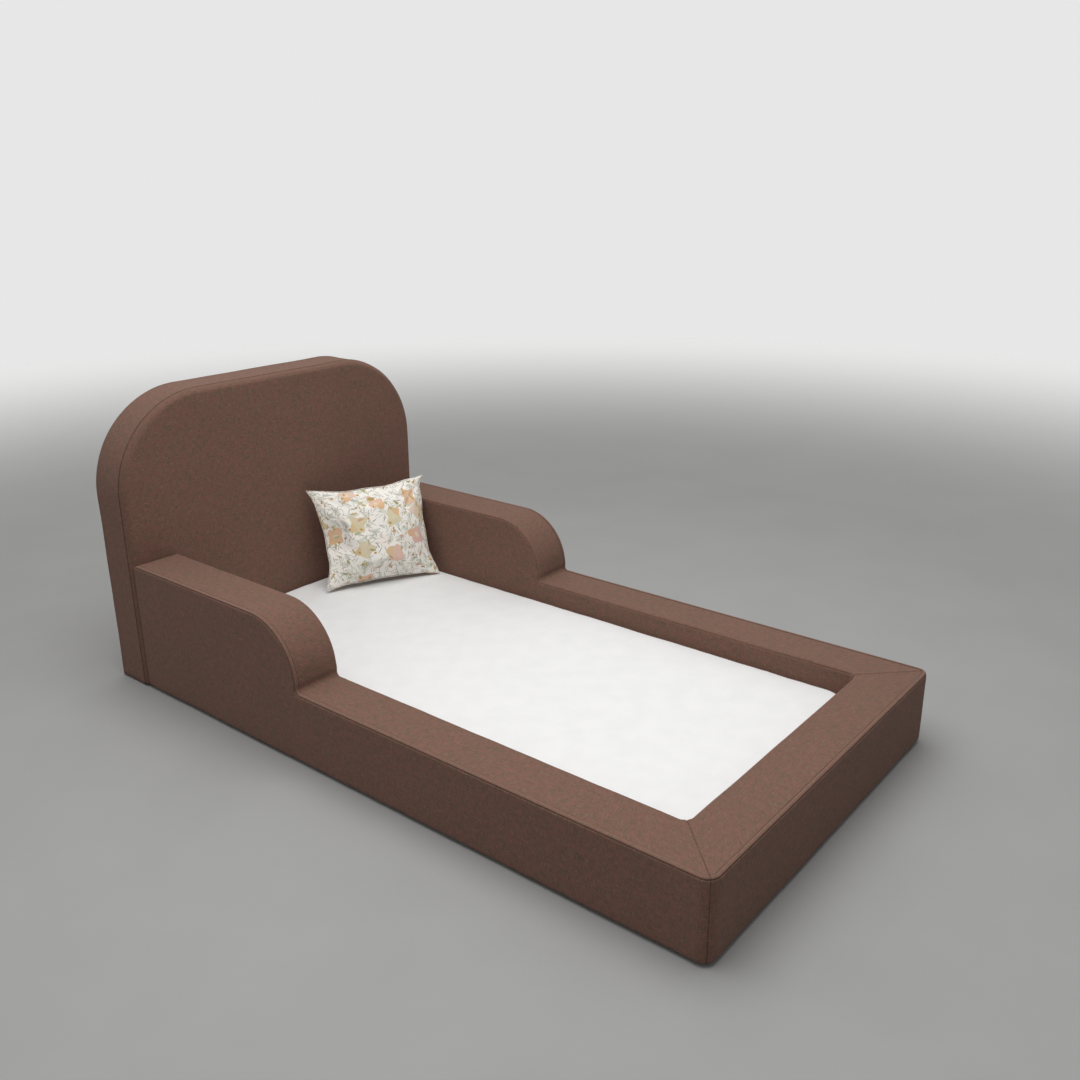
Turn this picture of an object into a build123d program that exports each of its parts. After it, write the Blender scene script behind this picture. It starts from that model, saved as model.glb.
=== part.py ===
"""Low upholstered floor bed: padded rails with a guard on each side, a tall round-cornered headboard, a slatted
deck, a loose mattress in a fitted sheet and a loose square cushion. Millimetres, +Z up, the foot at -Y and the
headboard at +Y, with the origin on the floor under the middle of the frame."""

from build123d import *

import os
from math import cos, radians, sin

os.makedirs("parts", exist_ok=True)

# %% Driving dimensions: the mattress, and the well that holds it
mattress_width = 900
mattress_length = 1900
mattress_thickness = 100
well_gap = 2  # on each side, between the nominal mattress and the covers
mattress_slack = 1  # a made mattress is this much under its nominal size on each side
mattress_corner = 80
mattress_edge = 25
ticking = 1.5
sheet_skin = 1
sheet_turn_under = 90
elastic_width = 6

# The frame
rail_thickness = 148
rail_height = 220
guard_rise = 196  # the guard's crest above the rail
guard_length = 758  # from the headboard
guard_radius = 176
crease_radius = 16  # where the guard's shoulder runs into the rail
corner_radius = 35  # the foot's outer corners, seen from above
inner_corner_radius = 20
edge_radius = 10  # along the top edges of the covers
floor_edge_radius = 14  # along the lower outer edges of the rails and the foot
rail_end_radius = 7  # round the side rails' ends, where they meet the headboard
guard_end_radius = 18  # the guards' top corner at the headboard, seen from the side
headboard_thickness = 150
headboard_height = 920
headboard_radius = 306
headboard_edge_radius = 20  # where the front rolls over into the gusset

# Layers, from the outside in
skin = 2
foam = 20
card = 3
board = 15
front_ply = 9
back_ply = 6
edge_foam = 10
glide_height = 7
hem_drop = 2  # how far the covers reach below the wood
hem_width = 48  # the covers' turned-under hem
fit = 0.5  # around wood that passes through foam or cloth

# The deck
deck_height = 55  # the slats' upper face
slat_thickness = 18
slat_width = 80
slat_count = 14
slat_end_gap = 2
ledger_width = 30
block_size = 60
beam_width = 50
deck_gap = 1  # between the deck and the lower edges of the inner foam and covers
lay_gap = 0.5  # between a loose piece and what it lies on

# Box beams in the rails, and the headboard's frame
spacer = 40
end_block = 36
pack_block = 30
mid_spacers = 4
rim = 22
member = 40
post_height = 560
stud_places = (-170, 170)

# Hardware
bolt_length = 75
bolt_radius = 4
head_radius = 6.5
head_length = 8
washer_radius = 11
washer_thickness = 2
nut_radius = 6
nut_length = 25
bolt_heights = (60, 130)
dowel_radius = 5
dowel_length = 60
dowel_height = 330
screw_radius = 2
screw_head = 4
screw_bite = 12  # how far a screw reaches into the piece that holds it
slat_screw_length = 40
block_screw_edge = 12
glide_radius = 20
glide_pin = 12
beam_glide_inset = 300
hole_gap = 0.1  # on the radius, around each bolt, screw, pin and dowel

# The cushion
cushion_width = 430
cushion_height = 372
cushion_thickness = 116
cushion_corner = 22
cushion_skin = 2
cushion_swell = ((0, 1), (0.3, 0.93), (0.44, 0.78), (0.5, 0.5))  # depth and spread, as shares of its size
cushion_yaw = -25
cushion_lean = 18
cushion_corner_x = 26  # its lower left corner
cushion_to_headboard = 141

# %% Places worked out from the dimensions
well_x = mattress_width / 2 + well_gap
half_width = well_x + rail_thickness
half_length = (mattress_length + 2 * well_gap + rail_thickness + headboard_thickness) / 2
foot_face = -half_length
head_front = half_length - headboard_thickness
well_foot = foot_face + rail_thickness
guard_crest = rail_height + guard_rise
hem = glide_height - hem_drop

wrap = skin + foam  # from a cover's face to what is under the foam
seat = head_front + wrap  # the headboard's front panel, which the rails' wood bears on
wood_inset = wrap + card  # from the top of a cover to the boards' upper edges
beam_out, beam_in = half_width - wrap, well_x + wrap
cavity_out, cavity_in = beam_out - board, beam_in + board
beam_middle = (beam_out + beam_in) / 2
foot_beam = (foot_face + wrap, well_foot - wrap)
foot_middle = (foot_beam[0] + foot_beam[1]) / 2

slat_foot = deck_height - slat_thickness
inner_start = deck_height + deck_gap
under_deck = (glide_height, slat_foot)
frame_depth = (seat + front_ply, half_length - skin - back_ply)
frame_inset = skin + edge_foam
rim_x = half_width - frame_inset - rim

side_xs = (-1, 1)
tall = (0, guard_crest + rail_thickness)
full_x = (-half_width, half_width)


# %% Small helpers
def block(x, y, z, mode=Mode.ADD):
    """A box between pairs of coordinates, in the part being built."""
    sides = [abs(high - low) for low, high in (x, y, z)]
    middle = tuple((low + high) / 2 for low, high in (x, y, z))
    with Locations(middle):
        Box(*sides, mode=mode)


def rod(start, direction, radius, length, mode=Mode.ADD):
    """A cylinder that starts at a point and runs along a direction, in the part being built."""
    with Locations(Plane(origin=start, z_dir=direction)):
        Cylinder(radius, length, align=(Align.CENTER, Align.CENTER, Align.MIN), mode=mode)


def ahead(start, direction, distance):
    return tuple(s + d * distance for s, d in zip(start, direction))


def save(piece, name):
    piece.label = name
    export_step(piece, f"parts/{name}.step")


def save_pair(piece, name):
    """Writes a left rail's piece, and its mirror image for the right rail."""
    save(piece, f"left_{name}")
    with BuildPart() as other:
        mirror(piece, about=Plane.YZ)
    save(other.part, f"right_{name}")


# %% Outlines
def side_outline(x, inset, bottom, start=None, end=head_front):
    """A side rail and its guard seen from the side, inset from the cover's face, on the plane at x."""
    start = foot_face + inset if start is None else start
    step = head_front - guard_length + inset
    top, crest = rail_height - inset, guard_crest - inset
    crease = crease_radius + inset
    shoulder = min(guard_radius - inset, guard_rise - crease - 1)
    with BuildSketch(Plane.YZ.offset(x)) as outline:
        with BuildLine():
            Polyline((start, bottom), (end, bottom), (end, crest), (step, crest), (step, top), (start, top),
                     close=True)
        make_face()
        fillet(outline.vertices().sort_by_distance((step, crest))[0], shoulder)
        fillet(outline.vertices().sort_by_distance((step, top))[0], crease)
    return outline.sketch


def head_outline(y, inset, bottom):
    """The headboard seen from the foot, inset from the cover's edge, on the plane at y, facing the foot."""
    radius = min(headboard_radius, half_width - 1) - inset
    height = headboard_height - inset - bottom
    with BuildSketch(Plane.XZ.offset(-y)) as outline:
        with Locations((0, bottom + height / 2)):
            Rectangle(2 * (half_width - inset), height)
        fillet(outline.vertices().group_by(Axis.Y)[-1], radius)
    return outline.sketch


# %% Padded forms: the rails, the guards and the foot as one ring, from which covers and foams are cut
def on_top(inset):
    """Picks the edges along the tops of the rails, the foot and the guards, all but their ends at the headboard."""
    sides = (half_width - inset, well_x + inset)
    ends = (foot_face + inset, well_foot - inset)

    def picks(edge):
        place, size = edge.center(), edge.bounding_box().size
        if place.Z < rail_height - inset - 0.1 or abs(place.Y - head_front) < 0.1:
            return False
        along_side = size.X < 0.1 and min(abs(abs(place.X) - side) for side in sides) < 0.1
        along_foot = size.Y < 0.1 and min(abs(place.Y - end) for end in ends) < 0.1
        round_corner = size.Z < 0.1 and size.X > 1 and size.Y > 1
        return along_side or along_foot or round_corner

    return picks


def on_outside(inset):
    """Picks the edges under the rails' and the foot's outer faces, the rounded corners among them."""
    def picks(edge):
        place, size = edge.center(), edge.bounding_box().size
        along_side = size.X < 0.1 and abs(abs(place.X) - half_width + inset) < 0.1
        along_foot = size.Y < 0.1 and abs(place.Y - foot_face - inset) < 0.1
        round_corner = size.X > 1 and size.Y > 1 and abs(place.X) > well_x + rail_thickness / 2
        return along_side or along_foot or round_corner

    return picks


def guard_end_corner(inset):
    """What the rounding takes off the guards' square top corner at the headboard."""
    radius, top = guard_end_radius - inset, guard_crest - inset
    with BuildPart() as corner:
        with BuildSketch(Plane.YZ.offset(-half_width)):
            with Locations((head_front, top)):
                Rectangle(2 * radius, 2 * radius)
            with Locations((head_front - radius, top - radius)):
                Circle(radius, mode=Mode.SUBTRACT)
        extrude(amount=2 * half_width)
    return corner.part


def ring(inset, bottom):
    """The rails, guards and foot in one piece, inset from the covers' faces."""
    inner_end = well_foot - inset
    with BuildPart() as form:
        for x in (-half_width + inset, well_x + inset):
            extrude(side_outline(x, inset, bottom), amount=rail_thickness - 2 * inset)
        block((-half_width + inset, half_width - inset), (foot_face + inset, inner_end),
              (bottom, rail_height - inset))
        upright = form.edges().filter_by(Axis.Z).group_by(Axis.Y)
        fillet(upright[0], corner_radius - inset)
        fillet(upright[1], inner_corner_radius + inset)
        fillet(form.edges().filter_by(on_top(inset)), edge_radius - inset)
        lowest = form.edges().group_by(Axis.Z)[0]
        fillet(lowest.filter_by(on_outside(inset)), floor_edge_radius - inset)
        at_headboard = form.faces().filter_by(lambda face: abs(face.center().Y - head_front) < 0.01)
        for end in at_headboard:
            fillet(end.edges().group_by(Axis.Z)[-1], rail_end_radius)
        add(guard_end_corner(inset), mode=Mode.SUBTRACT)
    return form.part


def mitred_share(side):
    """The space of one rail: the ring's two corners at the foot are shared out along their mitres."""
    outer = (-half_width - rail_thickness, foot_face - rail_thickness)
    inner = (-well_x + rail_thickness, well_foot + rail_thickness)
    if side == "left":
        corners = [outer, inner, (inner[0], half_length), (outer[0], half_length)]
    else:
        corners = [outer, inner, (-inner[0], inner[1]), (-outer[0], outer[1])]
    with BuildPart() as share:
        with BuildSketch():
            with BuildLine():
                Polyline(*corners, close=True)
            make_face()
        extrude(amount=tall[1])
    return share.part


cover_form, foam_form = ring(0, hem), ring(skin, glide_height)
left_share, foot_share = mitred_share("left"), mitred_share("foot")

# %% Covers of the rails and the foot, with mitred corners and a hem turned under
with BuildPart() as left_rail_cover:
    add(cover_form)
    add(foam_form, mode=Mode.SUBTRACT)
    add(left_share, mode=Mode.INTERSECT)
    block((-half_width + hem_width, 0), (foot_face + hem_width, half_length), (0, inner_start), Mode.SUBTRACT)
    block((-beam_out, -beam_in), (head_front - 2 * rail_end_radius, head_front), (glide_height, guard_crest - wrap),
          Mode.SUBTRACT)
save_pair(left_rail_cover.part, "rail_cover")

with BuildPart() as foot_rail_cover:
    add(cover_form)
    add(foam_form, mode=Mode.SUBTRACT)
    add(foot_share, mode=Mode.INTERSECT)
    block((hem_width - half_width, half_width - hem_width), (foot_face + hem_width, 0), (0, inner_start),
          Mode.SUBTRACT)
save(foot_rail_cover.part, "foot_rail_cover")


# %% Foam on the rails and the foot
def foam_cut(share, x, y, z):
    """The part of the padded form that lies in one rail's share and inside a box."""
    with BuildPart() as cut:
        add(foam_form)
        add(share, mode=Mode.INTERSECT)
        block(x, y, z, Mode.INTERSECT)
    return cut.part


rail_y = (foot_face, head_front)
save_pair(foam_cut(left_share, (-half_width, -beam_out), rail_y, tall), "rail_outer_foam")
save_pair(foam_cut(left_share, (-beam_in, -well_x), rail_y, (inner_start, tall[1])), "rail_inner_foam")

with BuildPart() as left_rail_top_foam:
    add(foam_cut(left_share, (-beam_out, -beam_in), rail_y, tall))
    extrude(side_outline(-beam_out, wrap, 0), amount=beam_out - beam_in, mode=Mode.SUBTRACT)
save_pair(left_rail_top_foam.part, "rail_top_foam")

foot_z = (rail_height - wrap, rail_height)
save(foam_cut(foot_share, full_x, (foot_face, foot_beam[0]), tall), "foot_rail_outer_foam")
save(foam_cut(foot_share, full_x, (foot_beam[1], well_foot), (inner_start, tall[1])), "foot_rail_inner_foam")
save(foam_cut(foot_share, full_x, foot_beam, foot_z), "foot_rail_top_foam")

# %% Bolts, washers and insert nuts: two at each end of both side rails, driven from inside the box beams
bolts = [((side * beam_middle, seat - end_block, z), (0, 1, 0)) for side in side_xs for z in bolt_heights]
bolts += [((side * (cavity_in + pack_block), foot_middle, z), (-side, 0, 0))
          for side in side_xs for z in bolt_heights]
nut_start = bolt_length - washer_thickness - nut_length

with BuildPart() as frame_bolts:
    for start, way in bolts:
        rod(ahead(start, way, -washer_thickness), way, bolt_radius, bolt_length)
        rod(ahead(start, way, -washer_thickness - head_length), way, head_radius, head_length)
save(frame_bolts.part, "frame_bolts")

with BuildPart() as washers:
    for start, way in bolts:
        face = ahead(start, way, -washer_thickness)
        rod(face, way, washer_radius, washer_thickness)
        rod(face, way, bolt_radius + hole_gap, washer_thickness, Mode.SUBTRACT)
save(washers.part, "washers")

with BuildPart() as insert_nuts:
    for start, way in bolts:
        mouth = ahead(start, way, nut_start)
        rod(mouth, way, nut_radius, nut_length)
        rod(mouth, way, bolt_radius + hole_gap, nut_length, Mode.SUBTRACT)
save(insert_nuts.part, "insert_nuts")

with BuildPart() as bolt_bores:
    for start, way in bolts:
        rod(start, way, bolt_radius + hole_gap, bolt_length)
        rod(ahead(start, way, nut_start), way, nut_radius, nut_length)

# %% Dowels that locate the guards on the headboard
dowels = [(side * beam_middle, seat - dowel_length / 2, dowel_height) for side in side_xs]
with BuildPart() as head_dowels:
    for start in dowels:
        rod(start, (0, 1, 0), dowel_radius, dowel_length)
save(head_dowels.part, "head_dowels")

with BuildPart() as dowel_bores:
    for start in dowels:
        rod(ahead(start, (0, 1, 0), -1), (0, 1, 0), dowel_radius + hole_gap, dowel_length + 2)

# %% Glides: the pads that the bed stands on, pinned under the spacers, the posts and the centre beam
first_spacer, last_spacer = foot_beam[1] + spacer, seat - end_block - 2 * spacer
spacer_step = (last_spacer - first_spacer) / (mid_spacers - 1)
spacer_ys = [first_spacer + i * spacer_step for i in range(mid_spacers)]
foot_spacer_xs = (-mattress_width / 4, mattress_width / 4)
deck_ends = (well_foot - wrap, head_front)

glide_places = [(side * beam_middle, y) for side in side_xs for y in spacer_ys]
glide_places += [(x, foot_middle) for x in foot_spacer_xs]
glide_places += [(side * beam_middle, sum(frame_depth) / 2) for side in side_xs]
glide_places += [(0, deck_ends[0] + beam_glide_inset), (0, sum(deck_ends) / 2), (0, deck_ends[1] - beam_glide_inset)]

with BuildPart() as glides:
    for x, y in glide_places:
        rod((x, y, 0), (0, 0, 1), glide_radius, glide_height)
        rod((x, y, glide_height), (0, 0, 1), screw_radius, glide_pin)
save(glides.part, "glides")

with BuildPart() as pin_bores:
    for x, y in glide_places:
        rod((x, y, glide_height), (0, 0, 1), screw_radius + hole_gap, glide_pin + hole_gap)

# %% Slats, ledgers and blocks: places, then the screws that hold them
slat_ends = (deck_ends[0] + slat_end_gap, deck_ends[1] - slat_end_gap)
slat_step = (slat_ends[1] - slat_ends[0] - slat_width) / (slat_count - 1)
slat_ys = [slat_ends[0] + slat_width / 2 + i * slat_step for i in range(slat_count)]
slat_screws_at = [(side * (beam_in - ledger_width / 2), y, deck_height) for side in side_xs for y in slat_ys]

block_ys = [(deck_ends[0], deck_ends[0] + block_size), (deck_ends[1] - block_size, deck_ends[1])]
ledger_y = (block_ys[0][1], block_ys[1][0])
cross_x = (block_size - beam_in, beam_in - block_size)
cross_ys = [(deck_ends[0], deck_ends[0] + ledger_width), (deck_ends[1] - ledger_width, deck_ends[1])]

screw_z = sum(under_deck) / 2
between_slats = [y + slat_step / 2 for y in slat_ys[1:-2:2]]
ledger_screws_at = [((side * (beam_in - ledger_width), y, screw_z), (side, 0, 0))
                    for side in side_xs for y in between_slats]
ledger_screws_at += [((x, cross_ys[0][1], screw_z), (0, -1, 0)) for x in foot_spacer_xs]
block_screw_ys = (deck_ends[0] + block_screw_edge, deck_ends[1] - block_screw_edge)
block_screws_at = [((side * (beam_in - block_size), y, screw_z), (side, 0, 0))
                   for side in side_xs for y in block_screw_ys]


def slat_screw_form(gap):
    """Every slat screw with its countersunk head, or the bores for them when the gap isn't nought."""
    with BuildPart() as made:
        for place in slat_screws_at:
            rod(place, (0, 0, -1), screw_radius + gap, slat_screw_length + gap)
            with Locations(ahead(place, (0, 0, -1), screw_radius / 2)):
                Cone(screw_radius + gap, screw_head + gap, screw_radius)
    return made.part


def driven_form(places, length, gap):
    """Plain screws that start flush in a face, or the bores for them when the gap isn't nought."""
    with BuildPart() as made:
        for start, way in places:
            rod(start, way, screw_radius + gap, length + gap)
    return made.part


save(slat_screw_form(0), "slat_screws")
slat_bores = slat_screw_form(hole_gap)
save(driven_form(ledger_screws_at, ledger_width + screw_bite, 0), "ledger_screws")
ledger_bores = driven_form(ledger_screws_at, ledger_width + screw_bite, hole_gap)
save(driven_form(block_screws_at, block_size + screw_bite, 0), "block_screws")
block_bores = driven_form(block_screws_at, block_size + screw_bite, hole_gap)

# %% The deck
with BuildPart() as corner_blocks:
    for side in side_xs:
        for y in block_ys:
            block((side * beam_in, side * (beam_in - block_size)), y, under_deck)
    add(block_bores, mode=Mode.SUBTRACT)
    add(slat_bores, mode=Mode.SUBTRACT)
save(corner_blocks.part, "corner_blocks")

with BuildPart() as side_ledgers:
    for side in side_xs:
        block((side * beam_in, side * (beam_in - ledger_width)), ledger_y, under_deck)
    add(ledger_bores, mode=Mode.SUBTRACT)
    add(slat_bores, mode=Mode.SUBTRACT)
save(side_ledgers.part, "side_ledgers")

with BuildPart() as cross_ledgers:
    for y in cross_ys:
        block(cross_x, y, under_deck)
    add(ledger_bores, mode=Mode.SUBTRACT)
save(cross_ledgers.part, "cross_ledgers")

with BuildPart() as centre_beam:
    block((-beam_width / 2, beam_width / 2), (cross_ys[0][1], cross_ys[1][0]), under_deck)
    add(pin_bores.part, mode=Mode.SUBTRACT)
save(centre_beam.part, "centre_beam")

with BuildPart() as slats:
    for y in slat_ys:
        block((slat_end_gap - beam_in, beam_in - slat_end_gap), (y - slat_width / 2, y + slat_width / 2),
              (slat_foot, deck_height))
    add(slat_bores, mode=Mode.SUBTRACT)
save(slats.part, "slats")

# %% Box beams inside the side rails: two boards, spacer blocks between them and a card strip over the top
with BuildPart() as left_rail_outer_board:
    extrude(side_outline(-beam_out, wood_inset, glide_height, foot_beam[0], seat), amount=board)
save_pair(left_rail_outer_board.part, "rail_outer_board")

with BuildPart() as left_rail_inner_board:
    extrude(side_outline(-cavity_in, wood_inset, glide_height, foot_beam[0], seat), amount=board)
    for bores in (bolt_bores.part, ledger_bores, block_bores):
        add(bores, mode=Mode.SUBTRACT)
save_pair(left_rail_inner_board.part, "rail_inner_board")

with BuildPart() as left_rail_card:
    extrude(side_outline(-beam_out, wrap, glide_height), amount=beam_out - beam_in)
    extrude(side_outline(-beam_out, wood_inset, 0, foot_face), amount=beam_out - beam_in, mode=Mode.SUBTRACT)
save_pair(left_rail_card.part, "rail_card")

with BuildPart() as left_rail_spacers:
    cavity = (-cavity_out, -cavity_in)
    block(cavity, (foot_beam[0], foot_beam[0] + board), tall)
    block((-cavity_in - pack_block, -cavity_in), (foot_beam[0] + board, foot_beam[1]), tall)
    for y in spacer_ys:
        block(cavity, (y - spacer / 2, y + spacer / 2), tall)
    block(cavity, (seat - end_block, seat), tall)
    extrude(side_outline(-cavity_out, wood_inset, glide_height, foot_beam[0], seat),
            amount=cavity_out - cavity_in, mode=Mode.INTERSECT)
    for bores in (bolt_bores, dowel_bores, pin_bores):
        add(bores.part, mode=Mode.SUBTRACT)
save_pair(left_rail_spacers.part, "rail_spacers")

# %% The foot's box beam, which stands between the side rails' inner boards
foot_x = (-beam_in, beam_in)
foot_wood = (glide_height, rail_height - wood_inset)
foot_cavity = (foot_beam[0] + board, foot_beam[1] - board)

with BuildPart() as foot_rail_outer_board:
    block(foot_x, (foot_beam[0], foot_cavity[0]), foot_wood)
save(foot_rail_outer_board.part, "foot_rail_outer_board")

with BuildPart() as foot_rail_inner_board:
    block(foot_x, (foot_cavity[1], foot_beam[1]), foot_wood)
    add(ledger_bores, mode=Mode.SUBTRACT)
save(foot_rail_inner_board.part, "foot_rail_inner_board")

with BuildPart() as foot_rail_card:
    block(foot_x, foot_beam, (foot_wood[1], rail_height - wrap))
save(foot_rail_card.part, "foot_rail_card")

with BuildPart() as foot_rail_spacers:
    for side in side_xs:
        block((side * (beam_in - end_block), side * beam_in), foot_cavity, foot_wood)
    for x in foot_spacer_xs:
        block((x - spacer / 2, x + spacer / 2), foot_cavity, foot_wood)
    for bores in (bolt_bores, pin_bores):
        add(bores.part, mode=Mode.SUBTRACT)
save(foot_rail_spacers.part, "foot_rail_spacers")


# %% Headboard: a plywood box under foam, in a sewn cover with a gusset round its arch
def plate(y, thickness, inset, bottom):
    """A slab with the headboard's outline, from y backward."""
    with BuildPart() as made:
        extrude(head_outline(y + thickness, inset, bottom), amount=thickness)
    return made.part


def padded_head(inset, bottom):
    """The whole headboard with its front edge rounded, inset from the covers' faces."""
    with BuildPart() as made:
        add(plate(head_front + inset, headboard_thickness - 2 * inset, inset, bottom))
        front = made.faces().sort_by(Axis.Y)[0]
        rounded = front.edges().filter_by(lambda edge: edge.center().Z > bottom + 0.1)
        fillet(rounded, headboard_edge_radius - inset)
    return made.part


def rail_seats():
    """Cuts away the foam and cloth where the side rails' wood bears on the front panel."""
    for side in side_xs:
        block((side * (beam_in - fit), side * (beam_out + fit)), (head_front - 1, seat),
              (0, guard_crest - wrap + fit), Mode.SUBTRACT)


with BuildPart() as headboard_skin:
    add(padded_head(0, hem))
    add(padded_head(skin, 0), mode=Mode.SUBTRACT)
    rail_seats()

gusset_seam = head_front + headboard_edge_radius
cover_depths = {"headboard_front_cover": (head_front, gusset_seam),
                "headboard_gusset": (gusset_seam, half_length - skin),
                "headboard_back_cover": (half_length - skin, half_length)}
for name, depth in cover_depths.items():
    with BuildPart() as headboard_cover:
        add(headboard_skin.part)
        block(full_x, depth, (0, headboard_height), Mode.INTERSECT)
    save(headboard_cover.part, name)

with BuildPart() as headboard_front_foam:
    add(padded_head(skin, glide_height))
    block(full_x, (head_front, seat), (0, headboard_height), Mode.INTERSECT)
    rail_seats()
save(headboard_front_foam.part, "headboard_front_foam")

with BuildPart() as headboard_edge_foam:
    add(plate(seat, half_length - skin - seat, skin, glide_height))
    add(plate(seat, half_length - skin - seat, frame_inset, 0), mode=Mode.SUBTRACT)
save(headboard_edge_foam.part, "headboard_edge_foam")

with BuildPart() as headboard_front_panel:
    add(plate(seat, front_ply, frame_inset, glide_height))
    for bores in (bolt_bores, dowel_bores):
        add(bores.part, mode=Mode.SUBTRACT)
save(headboard_front_panel.part, "headboard_front_panel")

with BuildPart() as headboard_back_panel:
    add(plate(frame_depth[1], back_ply, frame_inset, glide_height))
save(headboard_back_panel.part, "headboard_back_panel")

rim_inside = plate(frame_depth[0], frame_depth[1] - frame_depth[0], frame_inset + rim, 0)
with BuildPart() as headboard_rim:
    add(plate(frame_depth[0], frame_depth[1] - frame_depth[0], frame_inset, glide_height))
    add(rim_inside, mode=Mode.SUBTRACT)
save(headboard_rim.part, "headboard_rim")

post_x = (2 * beam_middle - rim_x, rim_x)
post_top = glide_height + post_height
with BuildPart() as headboard_posts:
    for side in side_xs:
        block((side * post_x[0], side * post_x[1]), frame_depth, (glide_height, post_top))
    add(rim_inside, mode=Mode.INTERSECT)
    for bores in (bolt_bores, dowel_bores, pin_bores):
        add(bores.part, mode=Mode.SUBTRACT)
save(headboard_posts.part, "headboard_posts")

rail_levels = (glide_height, (glide_height + post_top - member) / 2, post_top - member)
with BuildPart() as headboard_rails:
    for level in rail_levels:
        block((-post_x[0], post_x[0]), frame_depth, (level, level + member))
    add(rim_inside, mode=Mode.INTERSECT)
save(headboard_rails.part, "headboard_rails")

stud_runs = [(low + member, high) for low, high in zip(rail_levels, rail_levels[1:])]
stud_runs += [(post_top, headboard_height)]
with BuildPart() as headboard_studs:
    for x in stud_places:
        for run in stud_runs:
            block((x - member / 2, x + member / 2), frame_depth, run)
    add(rim_inside, mode=Mode.INTERSECT)
save(headboard_studs.part, "headboard_studs")

# %% Mattress: a foam core in a ticking cover, and a fitted sheet with elastic in its turned-under hem
mattress_x = mattress_width / 2 - mattress_slack
mattress_y = (well_foot + well_gap + mattress_slack, head_front - well_gap - mattress_slack)
mattress_low = deck_height + lay_gap
mattress_top = mattress_low + mattress_thickness


def mattress_form(inset):
    """The mattress with its sheet on, inset from the sheet's face."""
    with BuildPart() as form:
        block((inset - mattress_x, mattress_x - inset), (mattress_y[0] + inset, mattress_y[1] - inset),
              (mattress_low + inset, mattress_top - inset))
        fillet(form.edges().filter_by(Axis.Z), mattress_corner - inset)
        levels = form.edges().group_by(Axis.Z)
        fillet(levels[0] + levels[-1], mattress_edge - inset)
    return form.part


def hem_opening(margin):
    """The opening under the mattress that the sheet's hem leaves, smaller by a margin."""
    x = mattress_x - sheet_turn_under - margin
    y = (mattress_y[0] + sheet_turn_under + margin, mattress_y[1] - sheet_turn_under - margin)
    return (-x, x), y


sheeted, bare = mattress_form(0), mattress_form(sheet_skin)
hem_z = (mattress_low, mattress_low + sheet_skin)
with BuildPart() as fitted_sheet:
    add(sheeted)
    add(bare, mode=Mode.SUBTRACT)
    block(*hem_opening(0), hem_z, Mode.SUBTRACT)
save(fitted_sheet.part, "fitted_sheet")

with BuildPart() as sheet_elastic:
    block(*hem_opening(0), hem_z)
    block(*hem_opening(elastic_width), hem_z, Mode.SUBTRACT)
save(sheet_elastic.part, "sheet_elastic")

with BuildPart() as mattress_core:
    add(mattress_form(sheet_skin + ticking))
save(mattress_core.part, "mattress_core")

with BuildPart() as mattress_cover:
    add(bare)
    add(mattress_core.part, mode=Mode.SUBTRACT)
save(mattress_cover.part, "mattress_cover")

# %% Cushion: leaning back in the headboard's right corner, turned a little towards the middle
yaw, lean = radians(cushion_yaw), radians(cushion_lean)
cushion_along = (cos(yaw), sin(yaw), 0)
cushion_up = (-sin(yaw) * sin(lean), cos(yaw) * sin(lean), cos(lean))
cushion_face = (sin(yaw) * cos(lean), -cos(yaw) * cos(lean), sin(lean))
cushion_foot = (cushion_corner_x, head_front - cushion_to_headboard, mattress_top + lay_gap)
cushion_middle = ahead(ahead(cushion_foot, cushion_along, cushion_width / 2), cushion_up, cushion_height / 2)
cushion_plane = Plane(origin=cushion_middle, x_dir=cushion_along, z_dir=cushion_face)


def cushion_form(inset):
    """A plump square with its seam in the middle plane, inset from the case's face."""
    width, height = cushion_width - 2 * inset, cushion_height - 2 * inset
    depth = cushion_thickness - 2 * inset
    with BuildPart() as form:
        for side in (-1, 1):
            for out, spread in cushion_swell:
                with BuildSketch(cushion_plane.offset(side * out * depth)):
                    RectangleRounded(width * spread, height * spread, cushion_corner)
            loft(ruled=True)
    return form.part


with BuildPart() as cushion_insert:
    add(cushion_form(cushion_skin))
save(cushion_insert.part, "cushion_insert")

with BuildPart() as cushion_case:
    add(cushion_form(0))
    add(cushion_insert.part, mode=Mode.SUBTRACT)
save(cushion_case.part, "cushion_case")
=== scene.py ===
# %% [markdown]
# # A low upholstered bed, dressed around its CAD frame
# The CAD gives the wood, the hardware and the exact places. This script sews the cloth over it: covers for
# the rails and the headboard, a fitted sheet and a square cushion. Everything is in metres, with +Y to the
# headboard. The cloth could be modelled by hand in Blender's edit mode, but code keeps it exact and easy to
# change. The frame is loaded first, and its box is kept, because no cloth may make the bed bigger than it
# really is.

from math import cos, degrees, pi, radians, sin

import bpy
import numpy as np
from mathutils import Matrix, Vector


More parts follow.
